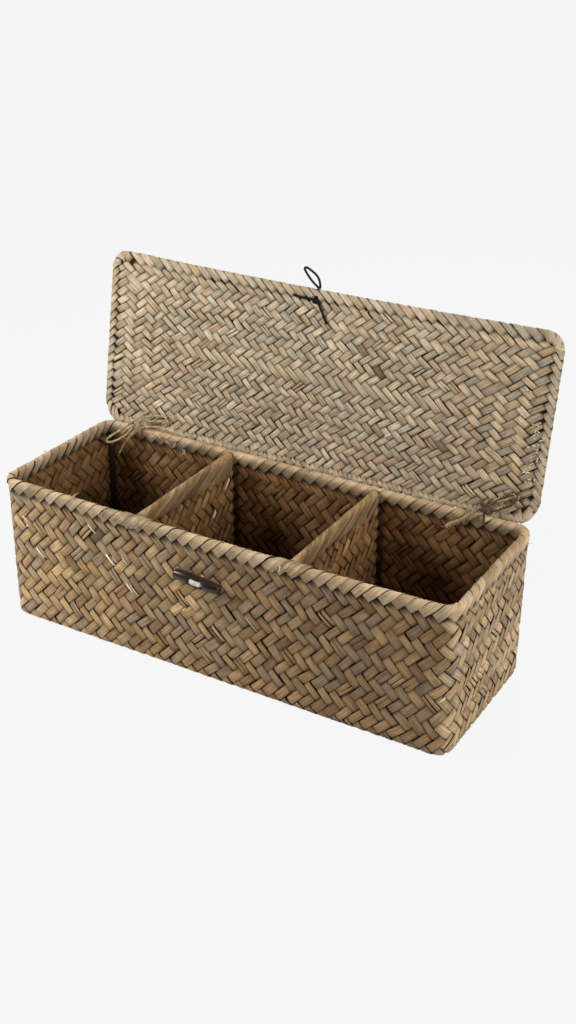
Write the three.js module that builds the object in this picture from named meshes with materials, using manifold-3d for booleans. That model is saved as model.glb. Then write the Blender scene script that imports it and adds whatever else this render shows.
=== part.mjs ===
// Woven lidded box with three compartments, a lid on twine hinges, and a toggle with an elastic loop.
// Millimetres, +Z up. X runs along the box, the front is -Y, and the origin is the middle of the underside.
// The lid stands open, leaning a little past upright.
import * as THREE from "three";
import { mergeVertices } from "three/addons/utils/BufferGeometryUtils.js";
import Module from "manifold-3d";

const wasm = await Module();
wasm.setup();

// Tray
const boxLength = 389;
const boxWidth = 139;
const boxHeight = 122.5;
const cornerRadius = 14;
const baseEdgeRadius = 5;
const trayLayer = 1.8;
const gap = 0.3;

// Rolled rim, which straddles both layers of the tray
const rimLeg = 0.9;
const rimDrop = 12;
const rimCrest = 2.4;
const rimRound = 2.2;
const rimDip = 2.2;

// Dividers
const dividerOffset = 66.5;
const dividerThickness = 4.6;
const dividerCrest = 6.4;

// Lid
const lidEndOverhang = 2.5;
const lidFrontOverhang = 0.5;
const lidCornerRadius = 15;
const lidLayer = 1.1;
const lidLeg = 0.7;
const lidBorder = 9;
const lidEdgeRound = 1.2;
const lidShift = -3.8;
const lidBow = 2.3;
const lidHingeLip = 3;

// Hinge line and the lid's stand-off
const hingeOut = 1.8;
const hingeUp = 1;
const lidRestGap = 1.8;
const lidOpenDegrees = 100;

// Twine ties
const twineDiameter = 2;
const twineClearance = 0.35;
const ringRadius = 9.8;
const tieInset = 38;
const knotDegrees = 40;
const knotLength = 6.8;
const knotThickness = 5.8;

// Closure: one elastic cord through the lid's edge, and a toggle on the front
const closureOffset = -6.3;
const elasticDiameter = 1.2;
const elasticKnotWidth = 6.2;
const elasticKnotThickness = 2.8;
const elasticKnotInset = 8.4;
const elasticRootDiameter = 2.4;
const elasticRootRise = 1.1;
const loopStandOff = 1;
const loopLeanDegrees = 50;
const toggleLength = 39;
const toggleDiameter = 9;
const toggleEndDiameter = 7.2;
const toggleBulgePower = 4;
const toggleChamferShare = 0.3;
const toggleStandOff = 6;
const toggleHeight = 88;
const toggleTiltDegrees = 4.9;
const eyeLength = 13;
const eyeWidth = 5.4;
const eyeDepth = 2.6;
const stitchSpan = 6.4;
const stitchHole = 2.6;
const stitchDiameter = 1.9;
const stemDiameter = 2.6;
const stemKnotDiameter = 6.5;
const stemKnotThickness = 3.2;

const cutOverrun = 4;

// Worked-out sizes
const halfLength = boxLength / 2;
const halfWidth = boxWidth / 2;
const outerInset = rimLeg + gap;
const innerInset = outerInset + trayLayer + gap;
const cavityInset = innerInset + trayLayer;
const rimInnerInset = cavityInset + gap + rimLeg;
const shellTop = boxHeight - rimCrest - gap;
const floorTop = 2 * trayLayer + gap;
const lidThickness = 2 * (lidLeg + lidLayer) + 3 * gap;
const lidLength = boxLength + 2 * lidEndOverhang;
const lidWidth = boxWidth + hingeOut - gap + lidFrontOverhang;
const lidHalfLength = lidLength / 2;
const lidHalfWidth = lidWidth / 2;
const lidUnder = lidRestGap - hingeUp;
const hingeY = halfWidth + hingeOut;
const hingeZ = boxHeight + hingeUp;
const tieOffset = halfLength - tieInset;

// Counts
const cornerSteps = 5;
const sideSteps = 8;
const roundSteps = 3;
const crestSteps = 6;
const ringSides = 8;
const ringSteps = 36;
const cordSides = 8;
const barSides = 16;
const rootSides = 12;
const knotSides = 14;
const knotRows = 10;
const barrelSides = 20;
const barrelSteps = 8;
const eyeSteps = 8;

// Length of one step along a cord or a stitch, as a share of its diameter
const cordStepShare = 2.6;
const stitchStepShare = 1.2;

const rad = THREE.MathUtils.degToRad;
const part = new THREE.Group();

// Materials
const straw = (color) => new THREE.MeshStandardMaterial({ color, roughness: 0.75, metalness: 0 });
const wallStraw = straw(0xa58c6a);
const innerStraw = straw(0x8a6f4c);
const rimStraw = straw(0xb39a76);
const lidStraw = straw(0xb9a587);
const twine = straw(0xb99d74);
const stitchTwine = straw(0xd9ccb4);
const elastic = new THREE.MeshStandardMaterial({ color: 0x17120f, roughness: 0.6, metalness: 0 });
const horn = new THREE.MeshStandardMaterial({ color: 0x3b302a, roughness: 0.3, metalness: 0 });

function addMesh(parent, name, geometry, material) {
  const mesh = new THREE.Mesh(geometry, material);
  mesh.name = name;
  parent.add(mesh);
  return mesh;
}

// A closed three.js geometry as a manifold solid, and back.
function toSolid(geometry) {
  const bare = geometry.clone();
  for (const attribute of ["normal", "uv"]) bare.deleteAttribute(attribute);
  const merged = mergeVertices(bare, gap / 1000);
  const vertProperties = new Float32Array(merged.attributes.position.array);
  const triVerts = new Uint32Array(merged.index.array);
  return new wasm.Manifold(new wasm.Mesh({ numProp: 3, vertProperties, triVerts }));
}

function toGeometry(solid) {
  const mesh = solid.getMesh();
  const geometry = new THREE.BufferGeometry();
  geometry.setAttribute("position", new THREE.BufferAttribute(new Float32Array(mesh.vertProperties), 3));
  geometry.setIndex(new THREE.BufferAttribute(new Uint32Array(mesh.triVerts), 1));
  geometry.computeVertexNormals();
  return geometry;
}

function cut(geometry, tools) {
  return toGeometry(tools.reduce((solid, tool) => solid.subtract(toSolid(tool)), toSolid(geometry)));
}

// One loop of points round a rounded rectangle, anticlockwise from above, drawn in by an inset.
function outline(halfX, halfY, radius, inset, z) {
  const round = radius - inset;
  const x = halfX - radius;
  const y = halfY - radius;
  const corners = [[x, y], [-x, y], [-x, -y], [x, -y]];
  const points = [];
  corners.forEach(([cx, cy], turn) => {
    for (let step = 0; step <= cornerSteps; step += 1) {
      const angle = ((turn + step / cornerSteps) * Math.PI) / 2;
      points.push(new THREE.Vector3(cx + round * Math.cos(angle), cy + round * Math.sin(angle), z));
    }
    const isLongSide = turn % 2 === 0;
    if (isLongSide) {
      const from = points[points.length - 1];
      for (let step = 1; step < sideSteps; step += 1) {
        const along = from.clone();
        along.x += ((corners[turn + 1][0] - cx) * step) / sideSteps;
        points.push(along);
      }
    }
  });
  return points;
}

// A skin over a row of loops that hold the same number of points. An open row gets a fan at each end,
// and a row that closes on itself makes a ring.
function skin(loops, closed) {
  const count = loops[0].length;
  const points = loops.flat();
  const index = [];
  const rows = closed ? loops.length : loops.length - 1;
  for (let row = 0; row < rows; row += 1) {
    const low = row * count;
    const high = ((row + 1) % loops.length) * count;
    for (let i = 0; i < count; i += 1) {
      const next = (i + 1) % count;
      index.push(low + i, low + next, high + next, low + i, high + next, high + i);
    }
  }
  if (!closed) {
    const middle = (loop) => loop.reduce((sum, p) => sum.add(p), new THREE.Vector3()).divideScalar(count);
    const first = points.push(middle(loops[0])) - 1;
    const last = points.push(middle(loops[loops.length - 1])) - 1;
    const top = (loops.length - 1) * count;
    for (let i = 0; i < count; i += 1) {
      const next = (i + 1) % count;
      index.push(first, next, i, last, top + i, top + next);
    }
  }
  const geometry = new THREE.BufferGeometry().setFromPoints(points);
  geometry.setIndex(index);
  geometry.computeVertexNormals();
  return geometry;
}

// The front of the tray settles in the middle, and the back stays straight.
function settle(geometry) {
  const at = geometry.attributes.position;
  for (let i = 0; i < at.count; i += 1) {
    const along = 1 - (at.getX(i) / halfLength) ** 2;
    const across = (halfWidth - at.getY(i)) / boxWidth;
    at.setZ(i, at.getZ(i) - (rimDip * along * across * at.getZ(i)) / boxHeight);
  }
  geometry.computeVertexNormals();
  return geometry;
}

// The lid's free edge bows in a little between its corners.
function bow(geometry) {
  const at = geometry.attributes.position;
  for (let i = 0; i < at.count; i += 1) {
    const along = Math.max(0, 1 - ((at.getX(i) - lidShift) / lidHalfLength) ** 2);
    at.setY(i, at.getY(i) + (lidBow * along * -at.getY(i)) / lidWidth);
  }
  geometry.computeVertexNormals();
  return geometry;
}

// The lid's hinge side slants: its inner corner reaches past the hinge line, to sit close behind the rim.
function slant(geometry) {
  const at = geometry.attributes.position;
  for (let i = 0; i < at.count; i += 1) {
    const border = Math.max(0, 1 + (at.getY(i) + gap) / lidBorder);
    const depth = 1 - (at.getZ(i) - lidUnder) / lidThickness;
    at.setY(i, at.getY(i) + lidHingeLip * border * depth);
  }
  return geometry;
}

// A quarter round from the side of a wall onto its flat: pairs of inset and height.
function quarter(inset, z, radius, rise) {
  const pairs = [];
  for (let step = 0; step <= roundSteps; step += 1) {
    const angle = (step / roundSteps) * (Math.PI / 2);
    pairs.push([inset + radius * (1 - Math.cos(angle)), z + rise * radius * Math.sin(angle)]);
  }
  return pairs;
}

const trayLoop = ([inset, z]) => outline(halfLength, halfWidth, cornerRadius, inset, z);

function trayLayerShell(inset, floor) {
  const radius = baseEdgeRadius - inset / 2;
  const outside = quarter(inset, floor + radius, radius, -1).reverse();
  const innerRadius = radius - trayLayer / 2;
  const inside = quarter(inset + trayLayer, floor + trayLayer + innerRadius, innerRadius, -1);
  const profile = [...outside, [inset, shellTop], [inset + trayLayer, shellTop], ...inside];
  return skin(profile.map(trayLoop), false);
}

// Twine rings are centred on the hinge line, so the same ring cuts tray and lid at every lid angle.
function ringAt(x, radius) {
  const ring = new THREE.TorusGeometry(ringRadius, radius, ringSides, ringSteps);
  ring.rotateY(Math.PI / 2);
  ring.translate(x, 0, 0);
  return ring;
}

const ringCuts = () => [-tieOffset, tieOffset].map((x) => ringAt(x, twineDiameter / 2 + twineClearance));
const trayRingCuts = ringCuts().map((ring) => ring.translate(0, hingeY, hingeZ));
const lidRingCuts = ringCuts();

// Toggle stem hole through both layers of the front wall
const toggleY = -halfWidth - toggleStandOff;
const wallFront = -halfWidth + outerInset;
const wallBack = -halfWidth + cavityInset;

function barY(diameter, fromY, toY, x, z) {
  const bar = new THREE.CylinderGeometry(diameter / 2, diameter / 2, toY - fromY, barSides);
  bar.translate(x, (fromY + toY) / 2, z);
  return bar;
}

const stemHole = barY(stemDiameter + 2 * gap, 0, wallBack - wallFront + 2 * cutOverrun, 0, 0);
stemHole.translate(closureOffset, wallFront - cutOverrun, toggleHeight);

const outerShell = settle(trayLayerShell(outerInset, 0));
addMesh(part, "tray_outer_weave", cut(outerShell, [...trayRingCuts, stemHole]), wallStraw);
const innerShell = settle(trayLayerShell(innerInset, trayLayer + gap));
addMesh(part, "tray_inner_weave", cut(innerShell, [...trayRingCuts, stemHole]), innerStraw);

// Rim: outer face, over the crest, inner face, then back up and over the inside of the fold
function rimGeometry() {
  const foot = boxHeight - rimDrop;
  const roof = boxHeight - rimCrest;
  const over = boxHeight - rimRound;
  const profile = [
    [0, foot],
    ...quarter(0, over, rimRound, 1),
    ...quarter(0, over, rimRound, 1).reverse().map(([inset, z]) => [rimInnerInset - inset, z]),
    [rimInnerInset, foot],
    [rimInnerInset - rimLeg, foot],
    [rimInnerInset - rimLeg, roof],
    [rimLeg, roof],
    [rimLeg, foot],
  ];
  return settle(skin(profile.map(trayLoop), true));
}

addMesh(part, "rim_fold", cut(rimGeometry(), trayRingCuts), rimStraw);

// Dividers: a folded panel with a rounded crest that runs between the rim's inner faces
function dividerGeometry(x) {
  const crestRadius = dividerCrest / 2;
  const crestZ = boxHeight - crestRadius;
  const foot = floorTop + gap;
  const neck = Math.asin(dividerThickness / dividerCrest);
  const section = new THREE.Shape();
  section.moveTo(-dividerThickness / 2, foot);
  section.lineTo(dividerThickness / 2, foot);
  section.lineTo(dividerThickness / 2, crestZ - crestRadius * Math.cos(neck));
  section.absarc(0, crestZ, crestRadius, neck - Math.PI / 2, 1.5 * Math.PI - neck, false);
  section.closePath();
  const upperHalf = halfWidth - rimInnerInset - gap;
  const lowerHalf = halfWidth - cavityInset - gap;
  const run = { depth: 2 * upperHalf, bevelEnabled: false, curveSegments: crestSteps };
  const upper = new THREE.ExtrudeGeometry(section, run);
  upper.rotateX(Math.PI / 2);
  upper.translate(x, upperHalf, 0);
  const corner = baseEdgeRadius;
  const shoulder = boxHeight - rimDrop - gap;
  const side = new THREE.Shape();
  side.moveTo(-lowerHalf + corner, foot);
  side.lineTo(lowerHalf - corner, foot);
  side.lineTo(lowerHalf, foot + corner);
  side.lineTo(lowerHalf, shoulder);
  side.lineTo(-lowerHalf, shoulder);
  side.lineTo(-lowerHalf, foot + corner);
  side.closePath();
  const lower = new THREE.ExtrudeGeometry(side, { depth: dividerThickness, bevelEnabled: false });
  lower.rotateX(Math.PI / 2);
  lower.rotateZ(Math.PI / 2);
  lower.translate(x - dividerThickness / 2, 0, 0);
  const reach = new THREE.BoxGeometry(boxLength, 2 * corner, 2 * corner);
  const notches = [-1, 1].map((end) => {
    const wedge = reach.clone();
    wedge.rotateX(Math.PI / 4);
    const depth = corner * (Math.SQRT2 - Math.SQRT1_2);
    wedge.translate(0, end * (lowerHalf + depth * Math.SQRT1_2), foot - depth * Math.SQRT1_2);
    return wedge;
  });
  const whole = toSolid(upper).add(toSolid(lower));
  return settle(toGeometry(notches.reduce((solid, wedge) => solid.subtract(toSolid(wedge)), whole)));
}

addMesh(part, "divider_left", dividerGeometry(-dividerOffset), wallStraw);
addMesh(part, "divider_right", dividerGeometry(dividerOffset), wallStraw);

// Lid, drawn closed about the hinge line and then swung open
const hinge = new THREE.Group();
hinge.position.set(0, hingeY, hingeZ);
part.add(hinge);
const lid = new THREE.Group();
lid.rotation.x = -rad(lidOpenDegrees);
hinge.add(lid);
const lidLoop = ([inset, z]) => outline(lidHalfLength, lidHalfWidth, lidCornerRadius, inset, z);

function placeLid(geometry) {
  geometry.translate(lidShift, -gap - lidHalfWidth, lidUnder);
  return bow(slant(geometry));
}

function lidPlate(z) {
  const inset = lidLeg + gap;
  return placeLid(skin([[inset, z], [inset, z + lidLayer]].map(lidLoop), false));
}

function lidFold() {
  const round = lidEdgeRound;
  const low = quarter(0, round, round, -1).reverse();
  const high = quarter(0, lidThickness - round, round, 1);
  const profile = [
    [lidBorder, 0],
    ...low,
    ...high,
    [lidBorder, lidThickness],
    [lidBorder, lidThickness - lidLeg],
    [lidLeg, lidThickness - lidLeg],
    [lidLeg, lidLeg],
    [lidBorder, lidLeg],
  ];
  return placeLid(skin(profile.map(lidLoop), true));
}

// Elastic cord: its knot sits in a pocket in the lid's inner face, and its root runs out through the edge.
const bowAt = lidBow * (1 - ((closureOffset - lidShift) / lidHalfLength) ** 2);
const freeEdgeY = -gap - lidWidth + bowAt;
const knotY = freeEdgeY + elasticKnotInset;
const knotZ = gap - hingeUp + elasticKnotThickness / 2;
const pivotY = freeEdgeY - loopStandOff;
const pivotZ = lidUnder + lidThickness / 2;

function elasticKnot(grow) {
  const knot = new THREE.SphereGeometry(1, knotSides, knotRows);
  const across = elasticKnotWidth / 2 + grow;
  knot.scale(across, across, elasticKnotThickness / 2 + grow);
  knot.translate(closureOffset, knotY, knotZ);
  return knot;
}

function elasticRoot(grow, overrun) {
  const from = new THREE.Vector3(closureOffset, knotY, knotZ + elasticRootRise);
  const to = new THREE.Vector3(closureOffset, freeEdgeY, pivotZ);
  const along = to.clone().sub(from);
  const radius = elasticRootDiameter / 2 + grow;
  const root = new THREE.CylinderGeometry(radius, radius, along.length() + 2 * overrun, rootSides);
  root.rotateX(Math.atan2(along.z, along.y));
  root.translate(closureOffset, (from.y + to.y) / 2, (from.z + to.z) / 2);
  return root;
}

const pocket = elasticKnot(gap);
const lidCuts = [...lidRingCuts, pocket, elasticRoot(gap, loopStandOff)];
addMesh(lid, "lid_inner_weave", cut(lidPlate(lidLeg + gap), lidCuts), lidStraw);
addMesh(lid, "lid_outer_weave", cut(lidPlate(lidLeg + 2 * gap + lidLayer), lidCuts), lidStraw);
addMesh(lid, "lid_edge_fold", cut(lidFold(), lidCuts), rimStraw);
addMesh(lid, "elastic_knot", elasticKnot(0), elastic);
addMesh(lid, "elastic_root", cut(elasticRoot(0, 0), [pocket]), elastic);

// A cord along a hand-picked route
function cordTube(route, diameter, stepShare = cordStepShare) {
  const path = new THREE.CatmullRomCurve3(route.map((p) => new THREE.Vector3(...p)), false, "centripetal");
  const steps = Math.round(path.getLength() / (stepShare * diameter));
  const section = new THREE.Shape();
  for (let side = 0; side < cordSides; side += 1) {
    const angle = (side / cordSides) * 2 * Math.PI;
    const x = (diameter / 2) * Math.cos(angle);
    const y = (diameter / 2) * Math.sin(angle);
    if (side === 0) section.moveTo(x, y);
    else section.lineTo(x, y);
  }
  section.closePath();
  return new THREE.ExtrudeGeometry(section, { steps, bevelEnabled: false, extrudePath: path });
}

// Tails of the elastic, flat on the lid's inner face: X from the knot, and distance towards the free edge
const tailZ = lidUnder - gap - elasticDiameter / 2;
const elasticTailLeft = [[0, 0], [-3.6, 0.6], [-7, 0.6], [-11, 0.4], [-14, 0.6], [-17, 0.9], [-19.8, 1.2]];
const elasticTailDown = [[0, 0], [2.4, -2], [4.4, -4.8], [6.2, -7.7], [8, -10.8], [9.8, -13.8], [11.4, -16.6]];

function addElasticTail(name, route) {
  const places = route.map(([x, out]) => [closureOffset + x, knotY - out, tailZ]);
  addMesh(lid, name, cut(cordTube(places, elasticDiameter), [pocket]), elastic);
}

addElasticTail("elastic_tail_left", elasticTailLeft);
addElasticTail("elastic_tail_down", elasticTailDown);

// The elastic loop swings on the lid's free edge. Its route lies flat: X, and distance from the edge
const elasticLoopRoute = [
  [-0.8, 0.3], [-3.1, 1.7], [-6.2, 3.7], [-10.2, 6.6], [-14.6, 10.2], [-18.4, 13.6], [-20.6, 16],
  [-20.8, 17.5], [-19.3, 17.7], [-16.6, 16.6], [-13, 14.9], [-9.4, 12.8], [-6.2, 10.4], [-3.7, 7.8],
  [-1.6, 4.9], [0, 2.2], [0.8, 0.3],
];
const loopSwing = new THREE.Group();
loopSwing.position.set(closureOffset, pivotY, pivotZ);
loopSwing.rotation.x = -rad(loopLeanDegrees);
lid.add(loopSwing);
const loopPlaces = elasticLoopRoute.map(([x, out]) => [x, -out, 0]);
addMesh(loopSwing, "elastic_loop", cordTube(loopPlaces, elasticDiameter), elastic);

// Twine ties. Each route starts at the middle of its knot, and the knot's own size trims it
const loopLeftTie = [
  [0, 0, 0], [-4.3, -1, -0.6], [-7.9, -2.9, -3.6], [-11.6, -5.4, -6.9], [-15.7, -8.3, -10],
  [-19.9, -11.3, -13.2], [-22.6, -13.5, -15.5], [-24.2, -15, -17.6], [-23.6, -15.5, -19.3],
  [-21, -14.5, -19.4], [-17.6, -12.7, -18.2], [-14.2, -10.7, -16.3], [-11.1, -8.5, -14],
  [-8, -6.5, -11], [-5.6, -4.6, -7.6], [-3.6, -2.5, -3.9], [0, 0, 0],
];
const tailLeftTie = [
  [0, 0, 0], [0.8, -3.6, -1.2], [1, -5, -3.8], [-1.3, -5.7, -8], [-5.2, -6.1, -12.5],
  [-9, -6.5, -17], [-12.1, -6.9, -21.4], [-14.9, -7.3, -26], [-17.3, -7.7, -30.6],
];
const secondLoopLeftTie = [
  [0, 0, 0], [2.6, 2, 2.3], [6, 5.2, 2.8], [10.6, 7.3, 3.4], [15.5, 8, 4.1], [20, 8.1, 4.2],
  [21.9, 7.6, 2.8], [19.4, 6.7, 0.9], [14.7, 5.9, 0], [10, 4.8, -0.8], [6.4, 3.5, -0.9],
  [3.5, 2, -0.6], [0, 0, 0],
];
const secondTailLeftTie = [
  [0, 0, 0], [3.1, -0.9, -2.4], [7.2, -0.9, -4.2], [11.2, -0.2, -3.6], [16.2, 0.4, -2.7],
  [21.2, 0.6, -2.4], [25.5, 0.4, -2.6], [29.4, 0, -3], [33, -0.6, -3.6],
];
const tailRightTie = [
  [0, 0, 0], [-3.6, -1.2, 0.4], [-5.8, -2, -1.5], [-8.4, -2.6, -4], [-11, -2.9, -6.8],
  [-13.8, -3, -9.6], [-16.7, -3, -12.1], [-19.9, -3, -14.4], [-23, -2.9, -16.8], [-26.1, -2.9, -19.1],
  [-29.1, -2.9, -21.3],
];
const loopRightTie = [
  [0, 0, 0], [2.4, 2.3, 2.6], [4.9, 5, 4.4], [7.6, 7.3, 6], [10.9, 8.4, 8.5], [14.3, 9.3, 11.2],
  [16.8, 9.7, 12.7], [19, 9.6, 12.3], [20, 9, 10.1], [19.1, 8, 7.1], [16.7, 6.9, 4.3],
  [13.4, 5.9, 2], [10, 4.8, 0.4], [6.5, 3.4, -0.9], [3.6, 1.6, -0.8], [0, 0, 0],
];

function tieKnot(x, grow) {
  const knot = new THREE.SphereGeometry(1, knotSides, knotRows);
  knot.scale(knotLength / 2 + grow, knotThickness / 2 + grow, knotThickness / 2 + grow);
  const angle = rad(knotDegrees);
  knot.translate(x, -ringRadius * Math.cos(angle), ringRadius * Math.sin(angle));
  return knot;
}

function addTie(side, x, routes) {
  const angle = rad(knotDegrees);
  const knotAt = new THREE.Vector3(x, -ringRadius * Math.cos(angle), ringRadius * Math.sin(angle));
  addMesh(hinge, "hinge_ring_" + side, ringAt(x, twineDiameter / 2), twine);
  const ringRoom = ringAt(x, twineDiameter / 2 + gap);
  addMesh(hinge, "tie_knot_" + side, cut(tieKnot(x, 0), [ringRoom]), twine);
  for (const [name, route] of routes) {
    const places = route.map(([dx, dy, dz]) => [knotAt.x + dx, knotAt.y + dy, knotAt.z + dz]);
    const open = places.slice(0, -1);
    const isLoop = route[route.length - 1].every((value) => value === 0);
    if (!isLoop) open.push(places[places.length - 1]);
    addMesh(hinge, name + "_" + side, cut(cordTube(open, twineDiameter), [tieKnot(x, gap)]), twine);
  }
}

addTie("left", -tieOffset, [
  ["bow_loop", loopLeftTie],
  ["bow_tail", tailLeftTie],
  ["bow_second_loop", secondLoopLeftTie],
  ["bow_second_tail", secondTailLeftTie],
]);
addTie("right", tieOffset, [
  ["bow_loop", loopRightTie],
  ["bow_tail", tailRightTie],
]);

// Toggle: a barrel with a carved eye, two stitch holes in the eye, and a twine stem through the wall
const toggleSwivel = new THREE.Group();
toggleSwivel.position.set(closureOffset, toggleY, toggleHeight);
toggleSwivel.rotation.y = rad(toggleTiltDegrees);
part.add(toggleSwivel);

function toggleBarrel() {
  const reach = toggleLength / 2;
  const middle = toggleDiameter / 2;
  const end = toggleEndDiameter / 2;
  const chamfer = end * toggleChamferShare;
  const profile = [new THREE.Vector2(0, -reach), new THREE.Vector2(end - chamfer, -reach)];
  for (let step = 0; step <= barrelSteps; step += 1) {
    const share = -1 + (2 * step) / barrelSteps;
    const radius = middle - (middle - end) * share ** toggleBulgePower;
    profile.push(new THREE.Vector2(radius, share * (reach - chamfer)));
  }
  profile.push(new THREE.Vector2(end - chamfer, reach), new THREE.Vector2(0, reach));
  const barrel = new THREE.LatheGeometry(profile, barrelSides);
  barrel.rotateZ(-Math.PI / 2);
  return barrel;
}

function eyeCut() {
  const round = eyeWidth / 2;
  const straight = eyeLength / 2 - round;
  const eye = new THREE.Shape();
  eye.absarc(straight, 0, round, -Math.PI / 2, Math.PI / 2, false);
  eye.absarc(-straight, 0, round, Math.PI / 2, 1.5 * Math.PI, false);
  const depth = eyeDepth + cutOverrun;
  const tool = new THREE.ExtrudeGeometry(eye, { depth, bevelEnabled: false, curveSegments: eyeSteps });
  tool.rotateX(Math.PI / 2);
  tool.translate(0, -toggleDiameter / 2 + eyeDepth, 0);
  return tool;
}

const stitchReach = toggleDiameter / 2;
const stitchHoles = [-1, 1].map((end) =>
  barY(stitchHole, -stitchReach - cutOverrun, stitchReach + cutOverrun, (end * stitchSpan) / 2, 0),
);
addMesh(toggleSwivel, "toggle", cut(toggleBarrel(), [eyeCut(), ...stitchHoles]), horn);

// The stitch lies in the eye and its legs run back to the stem
const stitchY = -toggleDiameter / 2 + eyeDepth - stitchDiameter / 2 - gap;
const stitchBack = toggleDiameter / 2 + gap;
const stitchHalf = stitchSpan / 2;
const stitchBend = stitchDiameter / 2;
const stitchRoute = [
  [-stitchHalf, stitchBack, 0],
  [-stitchHalf, 0, 0],
  [-stitchHalf, stitchY + stitchBend, 0],
  [-stitchHalf + stitchBend, stitchY, 0],
  [stitchHalf - stitchBend, stitchY, 0],
  [stitchHalf, stitchY + stitchBend, 0],
  [stitchHalf, 0, 0],
  [stitchHalf, stitchBack, 0],
];
const stitch = cordTube(stitchRoute, stitchDiameter, stitchStepShare);
addMesh(toggleSwivel, "toggle_stitch", stitch, stitchTwine);

const stemFrom = toggleY + toggleDiameter / 2 + 2 * gap;
const stemTo = wallBack + 2 * gap;
const stem = barY(stemDiameter, stemFrom, stemTo, closureOffset, toggleHeight);
addMesh(part, "toggle_stem", stem, stitchTwine);
const stemKnot = new THREE.SphereGeometry(1, knotSides, knotRows);
stemKnot.scale(stemKnotDiameter / 2, stemKnotThickness / 2, stemKnotDiameter / 2);
stemKnot.translate(closureOffset, stemTo + gap + stemKnotThickness / 2, toggleHeight);
addMesh(part, "toggle_stem_knot", stemKnot, stitchTwine);

export default part;
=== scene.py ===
# %% [markdown]
# # A woven box with a lid
# The box is plaited from flat strips of palm leaf that cross at a slant, two over and two under. The lid
# is tied on with twine, and a horn toggle on the front holds an elastic loop. This script dresses the
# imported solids: every strip becomes its own small surface, so the plaiting catches the light as it does
# on the real box. All shapes are worked out in millimetres and turned into metres at the last moment.

import math

import bpy
import numpy as np
from mathutils import Matrix


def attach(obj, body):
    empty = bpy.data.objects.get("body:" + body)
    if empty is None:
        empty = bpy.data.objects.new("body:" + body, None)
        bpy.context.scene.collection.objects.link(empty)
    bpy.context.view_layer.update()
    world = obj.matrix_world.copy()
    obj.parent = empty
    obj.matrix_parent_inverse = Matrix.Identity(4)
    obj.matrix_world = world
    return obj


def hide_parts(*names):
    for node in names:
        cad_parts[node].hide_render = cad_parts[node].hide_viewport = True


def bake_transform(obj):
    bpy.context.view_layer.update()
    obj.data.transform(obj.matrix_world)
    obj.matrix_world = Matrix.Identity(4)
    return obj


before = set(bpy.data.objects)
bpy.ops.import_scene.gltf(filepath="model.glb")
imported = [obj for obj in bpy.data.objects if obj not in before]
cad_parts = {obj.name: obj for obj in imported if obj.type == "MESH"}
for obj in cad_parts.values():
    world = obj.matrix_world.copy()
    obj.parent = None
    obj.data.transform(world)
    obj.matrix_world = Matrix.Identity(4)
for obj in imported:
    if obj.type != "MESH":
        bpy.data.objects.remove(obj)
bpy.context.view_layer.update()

# %% [markdown]
# ## Where the picture was taken from
# The camera's place and turn were solved from the outlines of the tray and the lid in the picture. A camera
# is described by three directions: forward, right and up. Blender's camera looks along its own minus Z, so
# right, up and forward reversed are the columns of its matrix. A lamp is placed in the same way.

# %% Camera
CAMERA_PLACE = (483.165, -782.679, 586.171)
CAMERA_TURN, CAMERA_TILT, CAMERA_ROLL = -0.52917, 0.47493, 0.00805
CAMERA_LENS = 48.046


def camera_directions(turn, tilt, roll):
    """Forward from the turn about the vertical and the tilt down; right and up from it, rolled a little."""
    forward = np.array([math.sin(turn) * math.cos(tilt), math.cos(turn) * math.cos(tilt), -math.sin(tilt)])
    level = np.array([math.cos(turn), -math.sin(turn), 0.0])
    above = np.cross(level, forward)
    right = math.cos(roll) * level + math.sin(roll) * above
    up = -math.sin(roll) * level + math.cos(roll) * above
    return right, up, forward


def standing(place, right, up, back):
    """The matrix of something at a place, with its own X, Y and Z along three directions."""
    matrix = np.eye(4)
    matrix[:3, 0], matrix[:3, 1], matrix[:3, 2], matrix[:3, 3] = right, up, back, place
    return Matrix(matrix.tolist())


def add_object(name, data):
    """A mesh, a lamp or a camera shows once an object holds it and the scene's collection holds the object."""
    made = bpy.data.objects.new(name, data)
    bpy.context.scene.collection.objects.link(made)
    return made


camera_data = bpy.data.cameras.new("camera")
camera_data.lens = CAMERA_LENS
camera_data.sensor_width = 36
camera = add_object("camera", camera_data)
right, up, forward = camera_directions(CAMERA_TURN, CAMERA_TILT, CAMERA_ROLL)
camera.matrix_world = standing(np.array(CAMERA_PLACE) / 1000, right, up, -forward)
bpy.context.scene.camera = camera
print("camera looks along", np.round(forward, 3).tolist())

# %% [markdown]
# ## Putting points into a mesh
# Blender can build a mesh from whole arrays of points, which is far quicker than adding points one by
# one. Each piece also gets a map of two numbers for every point (how far along the leaf and how far
# across it, in millimetres) for the grain, and a colour of its own for every point, called its tint.

# %% Mesh helpers
def linear(srgb):
    """Picture colour (0 to 255) to light: the usual curve, a short straight part and a power of 2.4."""
    c = np.asarray(srgb, float) / 255
    return np.where(c <= 0.04045, c / 12.92, ((c + 0.055) / 1.055) ** 2.4)


def grid_faces(rows, columns, patches=1, closed_rows=False, closed_columns=False):
    """Four-sided faces of grids of rows by columns points, one after another; a closed way joins its ends."""
    i = np.arange(rows if closed_rows else rows - 1)
    j = np.arange(columns if closed_columns else columns - 1)
    i, j = np.meshgrid(i, j, indexing="ij")
    after_i, after_j = (i + 1) % rows, (j + 1) % columns
    corners = [i * columns + j, after_i * columns + j, after_i * columns + after_j, i * columns + after_j]
    quads = np.stack(corners, axis=-1).reshape(-1, 4)
    first = np.arange(patches)[:, None, None] * rows * columns
    return (quads[None] + first).reshape(-1, 4)


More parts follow.
